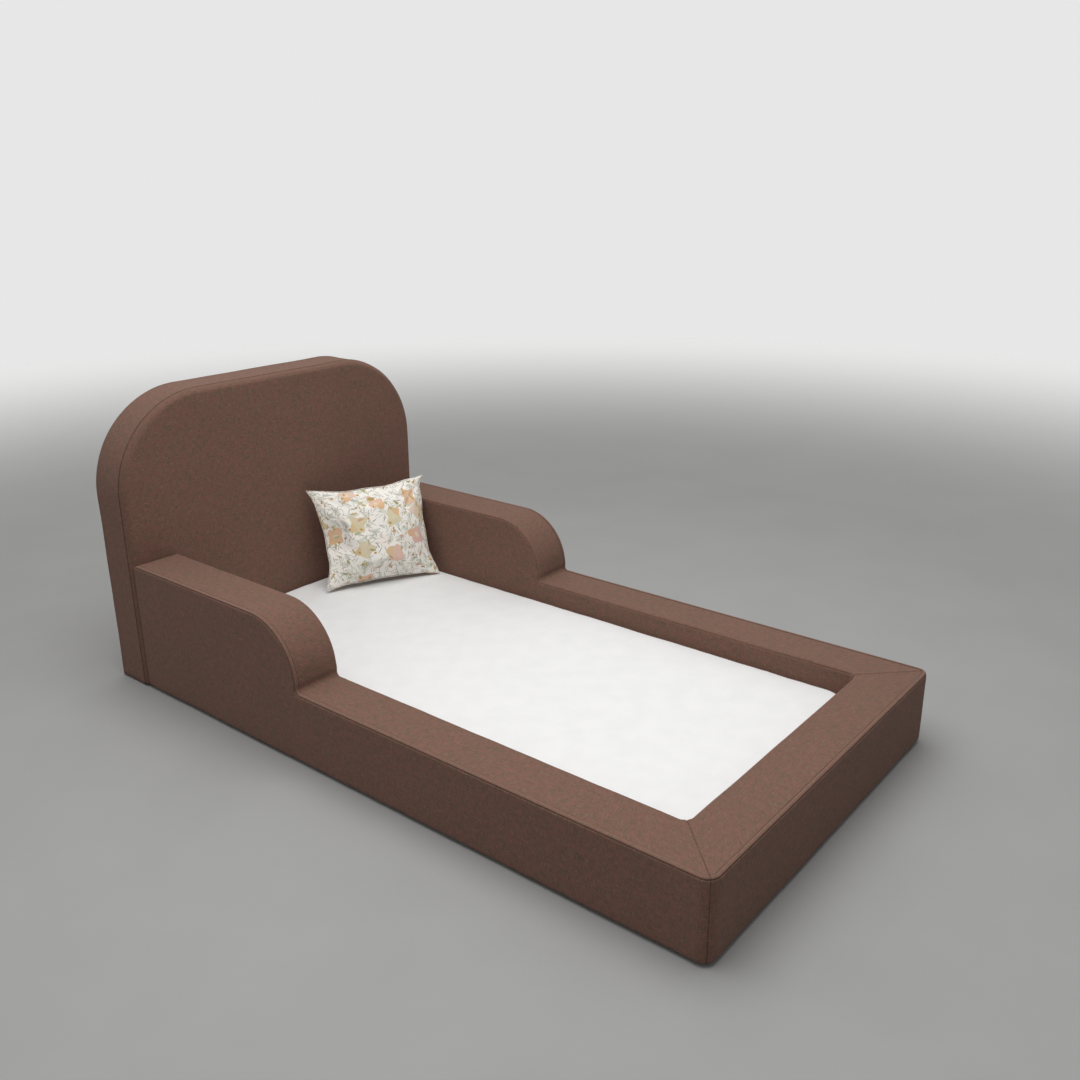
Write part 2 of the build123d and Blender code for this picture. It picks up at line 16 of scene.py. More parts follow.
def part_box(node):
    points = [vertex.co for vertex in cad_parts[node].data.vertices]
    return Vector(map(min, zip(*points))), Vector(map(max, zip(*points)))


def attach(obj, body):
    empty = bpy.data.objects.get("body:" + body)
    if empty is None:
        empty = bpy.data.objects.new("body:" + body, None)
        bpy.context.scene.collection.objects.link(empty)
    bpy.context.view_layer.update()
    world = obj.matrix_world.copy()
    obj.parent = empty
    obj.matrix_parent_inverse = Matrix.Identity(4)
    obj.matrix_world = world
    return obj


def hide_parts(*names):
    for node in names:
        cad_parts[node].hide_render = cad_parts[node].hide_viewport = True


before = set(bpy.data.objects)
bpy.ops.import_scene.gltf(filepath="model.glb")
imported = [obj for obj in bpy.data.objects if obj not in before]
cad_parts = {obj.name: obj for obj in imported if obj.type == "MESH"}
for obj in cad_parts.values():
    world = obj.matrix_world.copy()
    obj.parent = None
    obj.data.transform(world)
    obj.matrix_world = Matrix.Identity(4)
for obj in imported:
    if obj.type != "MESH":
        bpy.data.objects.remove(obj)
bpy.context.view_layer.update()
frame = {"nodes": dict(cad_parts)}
nodes = frame["nodes"]

# %% [markdown]
# ## Measures
# A cover has to land exactly where its foam is. The places could be typed in, but a typed number goes stale
# when the frame changes, so each one is read from the box of a CAD node instead. The upholsterer's own
# numbers, such as how round an edge is or how wide a seam, come later, each in the cell that first needs
# it.

# %% Places read from the frame
cover_low, cover_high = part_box("left_rail_cover")
foot_low, foot_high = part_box("foot_rail_cover")
sheet_low, sheet_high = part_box("fitted_sheet")

half_width = -cover_low.x
well_x = -cover_high.x
foot_face = foot_low.y
head_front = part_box("headboard_front_cover")[0].y
head_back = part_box("headboard_back_cover")[1].y
head_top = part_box("headboard_gusset")[1].z
hem_z = cover_low.z
rail_top = foot_high.z
guard_top = cover_high.z
thickness = half_width - well_x
print("rail", round(thickness, 3), "wide and", round(rail_top, 3), "high, guard to", round(guard_top, 3))

# %% [markdown]
# ## Shader sums
# A finish is a sum: so much of one yarn, so much of another, and a height for the bump. It could be wired
# up box by box in the shader editor, but it is easier to read and to change as arithmetic. `Signal` wraps
# one output socket, and each operator adds the Math node it stands for.


# %% A number that varies over a surface
class Signal:
    """One output socket, with the sums that can be done on it."""

    def __init__(self, nodes, socket):
        self.nodes = nodes
        self.socket = socket

    def maths(self, operation, *values):
        return self.nodes.node("ShaderNodeMath", {"operation": operation}, *values)

    def output(self, key):
        """Another output of the same node, by number or name."""
        return Signal(self.nodes, self.socket.node.outputs[key])

    def __add__(self, other):
        return self.maths("ADD", self, other)

    def __sub__(self, other):
        return self.maths("SUBTRACT", self, other)

    def __rsub__(self, other):
        return self.maths("SUBTRACT", other, self)

    def __mul__(self, other):
        return self.maths("MULTIPLY", self, other)

    def __truediv__(self, other):
        return self.maths("DIVIDE", self, other)

    def __pow__(self, other):
        return self.maths("POWER", self, other)

    def __lt__(self, other):
        return self.maths("LESS_THAN", self, other)

    def __gt__(self, other):
        return self.maths("GREATER_THAN", self, other)

    def size(self):
        return self.maths("ABSOLUTE", self)

    def wave(self):
        return self.maths("SINE", self)

    def most(self, other):
        return self.maths("MAXIMUM", self, other)

    def between(self, low, high):
        """0 below low, 1 above high, and a soft step between them."""
        ramp = {"interpolation_type": "SMOOTHSTEP"}
        return self.nodes.node("ShaderNodeMapRange", ramp, self, low, high, 0.0, 1.0)

    __radd__ = __add__
    __rmul__ = __mul__


# %% [markdown]
# `Nodes` adds any other node to a tree, for a material or for the sky. One method does it: it takes the
# node's type, its settings, which go in first, and then the values or links of its sockets, in order, by
# name, or by number where a node has several sockets of one name.


# %% Any node, in one call
class Nodes:
    """A node tree, and the nodes added to it."""

    def __init__(self, tree):
        self.tree = tree

    def put(self, value, socket):
        if isinstance(value, Signal):
            self.tree.links.new(value.socket, socket)
        else:
            socket.default_value = value

    def node(self, kind, settings=None, *values, out=0, numbered=None, **named):
        made = self.tree.nodes.new(kind)
        for key, value in (settings or {}).items():
            if key == "stops":
                self.set_stops(made.color_ramp, value)
            else:
                setattr(made, key, value)
        sockets = {**dict(enumerate(values)), **(numbered or {}), **named}
        for key, value in sockets.items():
            self.put(value, made.inputs[key])
        return Signal(self, made.outputs[out])

    def set_stops(self, ramp, stops):
        while len(ramp.elements) < len(stops):
            ramp.elements.new(0.5)
        for element, (place, colour) in zip(ramp.elements, stops):
            element.position = place
            element.color = (*colour, 1)

    def vector(self, operation, *values, out=0):
        return self.node("ShaderNodeVectorMath", {"operation": operation}, *values, out=out)


# %% [markdown]
# `Paint` is a material's own tree. Colours are mixed in a Mix node, because a Math node would turn them
# grey, and `finish` links the result to the shader, with the height going through a Bump node.


# %% A material
class Paint(Nodes):
    """One material, with the patterns and mixes that the finishes share."""

    def __init__(self, name):
        self.material = bpy.data.materials.new(name)
        self.material.use_nodes = True
        super().__init__(self.material.node_tree)
        self.shader = self.tree.nodes["Principled BSDF"]

    def mix(self, share, first, second):
        """A colour between two colours."""
        colours = [c if isinstance(c, Signal) else (*c, 1) for c in (first, second)]
        sockets = {0: share, 6: colours[0], 7: colours[1]}
        return self.node("ShaderNodeMix", {"data_type": "RGBA"}, numbered=sockets, out=2)

    def at(self, source):
        """Object coordinates, or the cloth's own map, in metres."""
        if source == "object":
            return self.node("ShaderNodeTexCoord", out="Object")
        return self.node("ShaderNodeUVMap", {"uv_map": source})

    def stretch(self, where, x, y, z=1.0):
        return self.vector("MULTIPLY", where, (x, y, z))

    def noise(self, where, scale, detail=2.0, rough=0.5):
        return self.node("ShaderNodeTexNoise", {}, Vector=where, Scale=scale, Detail=detail, Roughness=rough)

    def parts(self, where):
        """A place's x; its y and z are the same node's outputs 1 and 2."""
        return self.node("ShaderNodeSeparateXYZ", {}, where)

    def finish(self, height=None, strength=0.3, distance=0.001, **sockets):
        """Links the colour and the rest to the shader, and the height to its bump."""
        for key, value in sockets.items():
            self.put(value, self.shader.inputs[key.replace("_", " ")])
        if height is not None:
            bump = self.node("ShaderNodeBump", {}, Height=height, Strength=strength, Distance=distance)
            self.put(bump, self.shader.inputs["Normal"])
        return self.material


# %% [markdown]
# ## The cover cloth
# The covers are a heathered weave of two browns, one reddish and one nearly olive. Long soft patches of
# each come from spinning, and short thick places in the yarns, called slubs, run along both directions of
# the weave. A scanned picture of cloth would repeat, so the weave is made of noise stretched along each
# thread's way. It lies in the cloth's own map, in metres, and follows each panel round the edges as real
# cloth does.


# %% Threads of a plain weave
def weave_height(paint, cloth, pitch):
    """Over and under threads of a plain weave."""
    along = paint.parts(cloth)
    turns = 2 * pi / pitch
    return (along * turns).wave() * (along.output(1) * turns).wave()


# %% Cover cloth
# The "shade" colour serves for painted shade in seam grooves and for the topstitch thread's darker colour.
yarns = {"olive": (0.150, 0.097, 0.066), "russet": (0.208, 0.104, 0.079), "pale": (0.262, 0.158, 0.119),
         "red": (0.260, 0.116, 0.091), "dark": (0.080, 0.046, 0.034), "shade": (0.045, 0.023, 0.017)}
cover_pitch = 0.0017


def make_cover_cloth(name, darker):
    paint = Paint(name)
    cloth = paint.at("cloth")
    patches = paint.noise(cloth, 52.0, 3.0, 0.6).between(0.34, 0.66)
    drift = paint.noise(cloth, 8.0, 2.0).between(0.3, 0.7)
    warp = paint.noise(paint.stretch(cloth, 1.0, 0.09), 900.0, 2.0)
    weft = paint.noise(paint.stretch(cloth, 0.09, 1.0), 900.0, 2.0)
    warp_slubs = paint.noise(paint.stretch(cloth, 1.0, 0.14), 340.0, 1.0).between(0.55, 0.68)
    weft_slubs = paint.noise(paint.stretch(cloth, 0.14, 1.0), 340.0, 1.0).between(0.55, 0.68)
    slubs = warp_slubs.most(weft_slubs)
    base = paint.mix(patches * 0.8 + drift * 0.2, yarns["olive"], yarns["russet"])
    base = paint.mix(slubs * 0.62, base, paint.mix(patches, yarns["pale"], yarns["red"]))
    deep = warp.between(0.50, 0.70) + weft.between(0.50, 0.70)
    base = paint.mix(deep * 0.38, base, yarns["dark"])
    # Painted shade: seam marks darken the grooves; below 0 they paint a highlight on the raised seam band.
    seam = paint.node("ShaderNodeAttribute", {"attribute_name": "seam"}, out="Fac")
    base = paint.mix(seam.between(0.0, 1.0) * 0.75, base, yarns["shade"])
    base = paint.mix((0.0 - seam).between(0.0, 1.0) * 0.30, base, yarns["pale"])
    # The topstitch thread's own darker colour.
    base = paint.mix(darker, base, yarns["shade"])
    threads = weave_height(paint, cloth, cover_pitch)
    height = threads * 0.3 + warp + weft + slubs * 0.8
    return paint.finish(height, 0.35, 0.0012, Base_Color=base, Roughness=warp * 0.1 + 0.86,
                        Sheen_Weight=0.06, Sheen_Roughness=0.5, Specular_IOR_Level=0.12)


cover_cloth = make_cover_cloth("cover_cloth", 0.0)
thread_cloth = make_cover_cloth("topstitch_thread", 0.35)
print("cover cloth", len(cover_cloth.node_tree.nodes), "nodes")

# %% [markdown]
# ## Sewing a grid
# Every cover is a few flat panels, cut and sewn. A simulated cloth would wander off the cutting lines, so a
# cover is a grid of points: stations along the rail, and a section across it at each station. A grid keeps
# the seams exactly where they are cut, and its cloth map can be given per panel, so the weave breaks at
# each seam.


# %% Mesh helpers
def put_in_scene(name, points, faces, loops=None, smooth=True):
    """A mesh object from points and faces, with the cloth map in metres if it is given."""
    mesh = bpy.data.meshes.new(name)
    mesh.from_pydata([tuple(p) for p in points], [], [tuple(f) for f in faces])
    if loops is not None:
        layer = mesh.uv_layers.new(name="cloth")
        layer.data.foreach_set("uv", np.asarray(loops, np.float32).ravel())
    mesh.polygons.foreach_set("use_smooth", [smooth] * len(mesh.polygons))
    mesh.update()
    made = bpy.data.objects.new(name, mesh)
    bpy.context.scene.collection.objects.link(made)
    return made


def grid_faces(rows, columns, closed=False):
    """Corner numbers of a grid's quads; closed joins the last column to the first."""
    i = np.arange(rows - 1)[:, None]
    j = np.arange(columns if closed else columns - 1)[None, :]
    after = (j + 1) % columns
    corners = [i * columns + j, (i + 1) * columns + j, (i + 1) * columns + after, i * columns + after]
    return np.stack([np.broadcast_to(c, (rows - 1, j.size)) for c in corners], axis=-1).reshape(-1, 4)


def run_along(line):
    """How far along a line each of its points is."""
    return np.concatenate([[0], np.cumsum(np.linalg.norm(np.diff(line, axis=0), axis=1))])


def at_height(line, z):
    """Points over or under a line, all at one height."""
    return np.column_stack([line[:, 0], line[:, 1], np.full(len(line), z)])


# %% [markdown]
# Four small steps turn a grid into a piece: it is sewn from its panels, its seams get painted shade in their
# grooves and a painted highlight on the raised band, it gets its thickness, and it is dressed, which gives it
# a material, the body it moves with and the CAD node it replaces.


# %% From a grid to a dressed piece
cloth_thickness = 0.0014


def sewn_grid(name, points, maps, panels, flip=False):
    """A cover from its grid of points. maps holds one cloth map per panel; panels says which panel each
    column of quads belongs to."""
    rows, columns = points.shape[:2]
    faces = grid_faces(rows, columns)
    panel = np.tile(np.asarray(panels), rows - 1)
    charts = np.stack([m.reshape(-1, 2) for m in maps])
    if flip:
        faces = faces[:, ::-1]
    loops = charts[panel[:, None], faces]
    return put_in_scene(name, points.reshape(-1, 3), faces, loops)


def paint_seam_shade_and_highlight(piece, amounts):
    """Keeps for the finish: 1 is painted shade in a groove, below 0 a painted highlight on the raised band.
    """
    marks = piece.data.attributes.new("seam", "FLOAT", "POINT")
    marks.data.foreach_set("value", np.asarray(amounts, np.float32).ravel())


def thicken(piece, depth=cloth_thickness):
    """Gives cloth its thickness, away from the side that shows."""
    solid = piece.modifiers.new("thickness", "SOLIDIFY")
    solid.thickness = depth
    solid.offset = -1.0
    return piece


def dress(piece, material, body, slot=None, *replaced):
    """Finish, body and the CAD nodes it stands for, in one go; slot is not used."""
    piece.data.materials.clear()
    piece.data.materials.append(material)
    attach(piece, body)
    if replaced:
        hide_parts(*replaced)
    return piece


# %% [markdown]
# ## Soft unevenness
# Stretched cloth over foam is never flat. A Displace modifier could make it swell, but pieces that meet
# would then swell apart. A few long waves, added by place, give the same swell to both, so no gap opens at
# a seam. They stay under a millimetre, because the foam is only the cloth's thickness below.

# %% Waves over the cloth
wave_count = 14
shortest_wave, longest_wave = 0.10, 0.42
wave_dice = np.random.default_rng(11)
wave_ways = wave_dice.normal(size=(wave_count, 3))
wave_ways /= np.linalg.norm(wave_ways, axis=1)[:, None]
wave_turns = 2 * pi / wave_dice.uniform(shortest_wave, longest_wave, wave_count)
wave_starts = wave_dice.uniform(0, 2 * pi, wave_count)


def unevenness(points, height):
    """A smooth swell at each point, at most about the height given."""
    phase = points @ (wave_ways * wave_turns[:, None]).T + wave_starts
    return np.sin(phase).sum(axis=-1) * height / 6.0


def bump_at(distance, reach):
    """A soft ridge: 1 at no distance, and nearly 0 at twice the reach."""
    return np.exp(-(distance / reach) ** 2)


print(wave_count, "waves,", shortest_wave, "to", longest_wave, "m long")


# %% [markdown]
# ## Rail covers
# Each side rail's cover is three strips: an outer side, a top and an inner side. The outer seam is turned
# and topstitched flat, which leaves a raised band between two fine grooves, and the seam at the well is
# plain. At the foot the tops are mitred like a picture frame. The cover runs down inside the well, and
# outside it is turned under the lower edge as a hem.
#
# The section is written once, from the hem to the well, and carried along the rail's outline. That outline
# rises over the guard in a tight crease and a wide shoulder, so the section leans with it. Extruding one
# flat profile would be shorter, but it could not lean, and it would have no rows of points where the seams
# lie.

# %% Rows of points across a rail
top_radius = 0.010
floor_radius = 0.014
hem_width = 0.048
inner_bottom = 0.056
round_angles = np.radians(np.arange(0, 91, 5))
near_edge = np.array([0.8, 1.6, 2.4, 3.2, 4.0, 5.0, 6.5, 9.0, 13.0, 20.0]) / 1000
mid_panel = np.linspace(0.030, thickness / 2 - top_radius, 5)
side_rows = np.linspace(0, 1, 24)[1:-1]
well_rows = np.linspace(0, 1, 12)[1:]
low_angles = np.radians(np.arange(-90, 1, 15))
hem_rows = np.array([hem_width, 0.036, 0.024])
upward = np.array([0, 0, 1.0])
print(len(near_edge) + len(mid_panel), "rows from each edge to the middle of the top")

# %% [markdown]
# The two grooves of the topstitched seam lie at these distances across the edge, measured from where the
# rounding starts. The band between them is four layers of cloth thick, so it stands out and drops off
# steeply at both sides.

# %% The turned seam
seam_angle = 38
seam_first = top_radius * radians(seam_angle)
seam_second = top_radius * pi / 2 + 0.0028
band_proud = 0.0018
groove_depth, groove_width = 0.0013, 0.0010


def seam_grooves(run, topstitched):
    """1 in the seam's own groove, and in the stitched groove beside it where there is one."""
    sewn, stitched = bump_at(run - seam_first, groove_width), bump_at(run - seam_second, groove_width)
    return np.clip(sewn + topstitched * stitched, 0, 1)


def seam_band(run, topstitched):
    """How far the turned seam stands out, by the distance run across the edge from its start."""
    middle = (seam_first + seam_second) / 2
    half = (seam_second - seam_first) / 2
    band = band_proud * topstitched * np.clip(1 - ((run - middle) / half) ** 4, 0, 1)
    return band - groove_depth * seam_grooves(run, topstitched)


print("seam band", round((seam_second - seam_first) * 1000, 1), "mm wide")


# %% [markdown]
# `Rows` collects the section row by row. Each row has a point at every station, its way outward, and how
# far it lies across the seam. At the mitres the hem has to stop short of its neighbour's, so `own_side`
# holds it back.


# %% The section across a rail
class Rows:
    """The rows of a cover's grid: places, outward ways and runs across the seam."""

    def __init__(self, count):
        self.count = count
        self.places, self.ways, self.runs = [], [], []

    def add(self, place, way, run=1.0):
        self.places.append(place)
        self.ways.append(way)
        self.runs.append(np.full(self.count, run))

    def line(self, start, end, shares, way):
        for share in shares:
            self.add(start + (end - start) * share, way)

    def rounded(self, edge, way, rise, angles):
        for a in angles:
            corner = edge - (way * (1 - cos(a)) + rise * (1 - sin(a))) * top_radius
            self.add(corner, way * cos(a) + rise * sin(a), top_radius * a)

    def across(self, edge, toward, rise, distances):
        for u in distances:
            self.add(edge + toward * u, rise, top_radius * pi / 2 + u)

    def grid(self):
        return np.stack(self.places, 1), np.stack(self.ways, 1), np.stack(self.runs, 1)


def own_side(place, axis):
    """Keeps hem points on their own side of the foot's mitres; axis is the one the rail runs along."""
    inward = np.abs(half_width - np.abs(place[:, 0]))
    forward = place[:, 1] - foot_face
    if axis == 1:
        place[:, 1] = np.maximum(forward, inward) + foot_face
    else:
        place[:, 0] = np.sign(place[:, 0]) * (half_width - np.maximum(forward, inward))
    return place


def outer_side(rows, edge, way, rise, below, axis):
    """The hem under the rail, the rounded lower edge and the outer side."""
    for u in hem_rows:
        rows.add(own_side(at_height(below - way * u, hem_z), axis), np.tile(-upward, (rows.count, 1)))
    for a in low_angles:
        inset, height = floor_radius * (1 - cos(a)), hem_z + floor_radius * (1 + sin(a))
        rows.add(at_height(below - way * inset, height), way * cos(a) + upward * sin(a))
    rows.line(at_height(below, hem_z + floor_radius), edge - rise * top_radius, side_rows, way)


def rail_grid(outer, inner, rise, low_outer, low_inner, axis):
    """A cover's points with their outward ways and runs across the seam. outer and inner are the outline on
    each side, with its ways; rise is the outline's own upward way; low_outer and low_inner are its stations
    below."""
    (edge, way), (well_edge, well_way) = outer, inner
    rows = Rows(len(edge))
    outer_side(rows, edge, way, rise, low_outer, axis)
    rows.rounded(edge, way, rise, round_angles)
    left, right = edge - way * top_radius, well_edge - well_way * top_radius
    toward = (right - left) / np.linalg.norm(right - left, axis=1)[:, None]
    from_edge = np.concatenate([near_edge, mid_panel])
    rows.across(left, toward, rise, from_edge)
    rows.across(right, -toward, rise, from_edge[-2::-1])
    rows.rounded(well_edge, well_way, rise, round_angles[::-1])
    rows.line(well_edge - rise * top_radius, at_height(low_inner, inner_bottom), well_rows, well_way)
    return rows.grid()


first_round = len(hem_rows) + len(low_angles) + len(side_rows)
second_round = first_round + len(round_angles) + 2 * (len(near_edge) + len(mid_panel)) - 1
section_size = second_round + len(round_angles) + len(well_rows)
half_way = (first_round + second_round + len(round_angles)) / 2
topstitched = np.where(np.arange(section_size) < half_way, 1.0, 0.12)
print("section of", section_size, "points")

# %% [markdown]
# The stations start on the mitre, crowd together there and at the crease, and spread out where nothing
# happens. At the foot's corners the outer line turns on a 35 mm radius and the inner line on a 20 mm one.

# %% Stations along a side rail
guard_length = 0.758
shoulder_radius = 0.176
crease_radius = 0.016
corner_radius = 0.035
inner_corner_radius = 0.020
corner_steps = np.array([0, 0.03, 0.06, 0.09, 0.13, 0.18, 0.25, 0.34, 0.45, 0.58, 0.72, 0.86, 1.0])
straight_shares = np.linspace(0, 1, 22)[1:] ** 1.15
straight_end = foot_face + 0.45
step_y = head_front - guard_length
end_gaps = np.array([18, 15, 12, 9, 6.5, 4.5, 3, 1.8, 0.9, 0.3, 0]) / 1000
almost = 1e-6


def lift(plan, z):
    """Plan places, or ways, stood at a height."""
    return np.column_stack([plan, np.full(len(plan), z)])


def corner_lines(far):
    """The left corner's outer and inner lines and their outward ways, from the mitre to the straight end."""
    lines = []
    angle = np.radians(225 - 45 * corner_steps)
    turn = np.column_stack([np.cos(angle), np.sin(angle)])
    count = len(straight_shares)
    for inset, radius, sign in ((0.0, corner_radius, 1.0), (thickness, inner_corner_radius, -1.0)):
        middle = np.array([inset + radius - half_width, inset + radius + foot_face])
        straight = middle[1] + (far - middle[1]) * straight_shares
        beyond = np.column_stack([np.full(count, middle[0] - radius), straight])
        line = np.vstack([middle + radius * turn, beyond])
        way = sign * np.vstack([turn, np.tile(turn[-1], (count, 1))])
        lines.append((line, way))
    return lines


def outline_beyond():
    """The side outline past the corner: its places, how far it has turned, and its stations below."""
    rows = [(v, rail_top, 0.0) for v in np.linspace(straight_end, step_y - crease_radius, 52)[1:]]
    for a in np.radians(np.linspace(0, 90, 13))[1:]:
        rows.append((step_y - crease_radius * (1 - sin(a)), rail_top + crease_radius * (1 - cos(a)), a))
    for a in np.radians(np.linspace(90, 0, 40)):
        rows.append((step_y + shoulder_radius * (1 - sin(a)), guard_top - shoulder_radius * (1 - cos(a)), a))
    far = np.linspace(step_y + shoulder_radius, head_front - 0.024, 36)[1:]
    rows += [(v, guard_top, 0.0) for v in np.concatenate([far, head_front - end_gaps])]
    y, z, turn = np.array(rows).T
    bent = (y > step_y - crease_radius - almost) & (y < step_y + shoulder_radius + almost)
    run = run_along(np.column_stack([y, z]))
    low = y.copy()
    low[bent] = np.interp(run[bent], [run[bent][0], run[bent][-1]], [y[bent][0], y[bent][-1]])
    return y, z, turn, low


print("guard starts", round(guard_length, 3), "m before the headboard")


# %% [markdown]
# The plain section is then shaped: the seam band stands out, the mitre pulls in with a little swell beside
# it, and the guard's crease puckers. Sculpting brushes could do this, but a rule by place moves neighbours
# alike, and keeps every depth within the cloth's own thickness of the foam.

# %% Shaping the plain section
cloth_swell, most_in, most_out = 0.0008, 0.0016, 0.0024
mitre_depth, mitre_width = 0.0011, 0.0016
ridge_height, ridge_away, ridge_width = 0.0007, 0.0065, 0.0045
pucker_height, pucker_away, pucker_width = 0.0010, 0.022, 0.010
crease_depth, crease_width, crease_inset = 0.0006, 0.009, 0.004
flat_at_head, shade_at_head = 0.010, 0.0065


def mitre_distance(points):
    """How far points are from the nearer foot corner's mitre."""
    return np.abs(half_width - np.abs(points[..., 0]) - points[..., 1] + foot_face) / np.sqrt(2)


def guard_puckers(points):
    """The cloth swells over the crease and pulls in at its bottom."""
    from_step = np.hypot(points[..., 1] - step_y + crease_inset, points[..., 2] - rail_top - crease_inset)
    pucker = pucker_height * bump_at(from_step - pucker_away, pucker_width)
    return pucker - crease_depth * bump_at(from_step, crease_width)


def shape_cloth(points, ways, runs, with_guard):
    """Moves the plain section out and in, and gives each point's painted shade and painted highlight."""
    band = seam_band(runs, topstitched)
    beside_band = np.clip(1 - np.abs(band) * 900, 0, 1)
    height = band + cloth_swell * beside_band * unevenness(points, 1.0)
    gap = mitre_distance(points)
    height = height * (1 - 0.7 * bump_at(gap, mitre_width)) - mitre_depth * bump_at(gap, mitre_width)
    height += ridge_height * bump_at(gap - ridge_away, ridge_width)
    # Painted shade in the seam grooves and in the mitre's groove.
    grooves = np.clip(seam_grooves(runs, topstitched) * 0.85 + 0.5 * bump_at(gap, 0.0014), 0, 1)
    if with_guard:
        height = np.clip(height + guard_puckers(points), -most_in, most_out)
        to_head = head_front - points[..., 1]
        height = height * (1 - bump_at(to_head, flat_at_head))
        # Painted shade in the gap where the guard's end meets the headboard.
        grooves = np.maximum(grooves, bump_at(to_head, shade_at_head))
    height = np.clip(height, -most_in, most_out)
    # A negative mark is a painted highlight on the raised band.
    marks = grooves - np.clip(band / band_proud, 0, 1) * (1 - grooves) * 0.8
    return points + ways * height[..., None], marks


print("mitre", round(mitre_depth * 1000, 1), "mm deep")

# %% [markdown]
# At the headboard the guard's end is turned in: its sides a little, its top corner on a wide arc, and the
# cloth is tucked over the foam's end. Without the tuck the foam would show in the gap under the headboard's
# rolled edge. The end and its tuck carry painted shade, which darkens that gap.

# %% The end at the headboard
end_top_radius = 0.018
end_side_run, end_side_depth = 0.006, 0.0016
end_overshoot = 0.97
tuck_gap = 0.0003
tuck_depths, tuck_runs = (0.0012, 0.016), (0.001, 0.016)


def turned_in(points, ways):
    """Rounds a side cover's end in to the headboard: its sides a little, and its top corner on a wide arc."""
    reach = points[..., 1] - head_front
    side = np.clip(1 + reach / end_side_run, 0, 1)
    top = np.clip(1 + reach / end_top_radius, 0, 1)
    made = points.copy()
    made[..., 0] -= ways[..., 0] * end_side_depth * (1 - np.sqrt(1 - side ** 2))
    over = made[..., 2] - guard_top + end_top_radius * (1 - np.sqrt(1 - top ** 2))
    made[..., 2] -= np.maximum(over, 0) * end_overshoot
    return made


def tucked_end(points, ways, marks, along):
    """Folds the cloth's last row over the beam's end, where the headboard's rolled edge leaves a gap."""
    folds = [points[-1] - ways[-1] * depth + [0, tuck_gap, 0] for depth in tuck_depths]
    points = np.concatenate([points, folds])
    # The fold gets full painted shade, which darkens the gap under the headboard's rolled edge.
    marks = np.concatenate([marks, np.ones((len(folds), marks.shape[1]))])
    return points, marks, np.append(along, along[-1] + np.array(tuck_runs))


print("end rounded on", round(end_top_radius * 1000), "mm")

# %% [markdown]
# The panels' cloth maps are laid apart, so that no two panels share a patch of the weave, and they are cut
# at the seam's own groove. An automatic unwrap would turn and scale each panel as it liked; here one unit
# of the map is one metre of cloth, and the weave runs straight along each strip.

# %% Cloth maps for a rail, and its mesh
groove_step = int(round(degrees(seam_first / top_radius) / 5))
map_starts = {"side": 0.3, "hem": 0.2, "top": 3.1, "well": (5.3, 0.7)}


def rail_cover(name, points, marks, along, axis, outside_in, replaced):
    """Cloth maps for the two sides and the top, then the mesh."""
    steps = np.linalg.norm(np.diff(points, axis=1), axis=2)
    across = np.concatenate([np.zeros((len(points), 1)), np.cumsum(steps, axis=1)], axis=1)
    side = np.stack([points[..., axis], points[..., 2] + map_starts["side"]], -1)
    under = len(hem_rows) + 3
    side[:, :under, 1] = across[:, :under] + map_starts["hem"]
    top = np.stack([np.broadcast_to(along[:, None], across.shape) + map_starts["top"], across], -1)
    panels = np.zeros(points.shape[1] - 1, int)
    panels[first_round + groove_step:] = 1
    panels[second_round + len(round_angles) - groove_step - 1:] = 2
    cloth = sewn_grid(name, points, [side, top, side + map_starts["well"]], panels, flip=outside_in)
    paint_seam_shade_and_highlight(cloth, marks)
    dress(thicken(cloth), cover_cloth, "bed", "cover_fabric", replaced)
    print(name, len(cloth.data.vertices), "points")


print("three panels, cut", groove_step, "rows into the rounding")

# %% [markdown]
# Both side rails are the left one's outline; the right one is its mirror, with its faces turned round to
# match. Drawing the second rail by hand would be a second chance for a mistake.

# %% Side rail covers
def stood(plan, way, y, z, low):
    """A plan line and its ways stood up along the outline, with its stations below."""
    x = np.full(y.size, plan[-1, 0])
    places = np.vstack([lift(plan, rail_top), np.column_stack([x, y, z])])
    ways = np.vstack([lift(way, 0.0), np.tile([*way[-1], 0], (y.size, 1))])
    below = np.vstack([lift(plan, 0.0), np.column_stack([x, low, 0 * low])])
    return places, ways, below


def side_rail_cover(name, side, replaced):
    y, z, turn, low = outline_beyond()
    lines = corner_lines(straight_end)
    (edge, way, below), (well_edge, well_way, well_below) = (stood(*line, y, z, low) for line in lines)
    lean = np.concatenate([np.zeros(len(lines[0][0])), turn])
    rise = np.column_stack([np.zeros(lean.size), -np.sin(lean), np.cos(lean)])
    points, ways, runs = rail_grid((edge, way), (well_edge, well_way), rise, below, well_below, 1)
    points, ways = points * [-side, 1, 1], ways * [-side, 1, 1]
    along = run_along((edge + well_edge) / 2)
    shaped, marks = shape_cloth(points, ways, runs, True)
    shaped = turned_in(shaped, ways)
    rail_cover(name, *tucked_end(shaped, ways, marks, along), 1, side < 0, replaced)
    return shaped, ways


left_rail = side_rail_cover("left_rail_cloth", -1, "left_rail_cover")
right_rail = side_rail_cover("right_rail_cloth", 1, "right_rail_cover")

# %% [markdown]
# The foot's cover is the same section between two mitres. Its stations are the left corner's lines turned
# about the mitre, so both covers share every point along the seam.


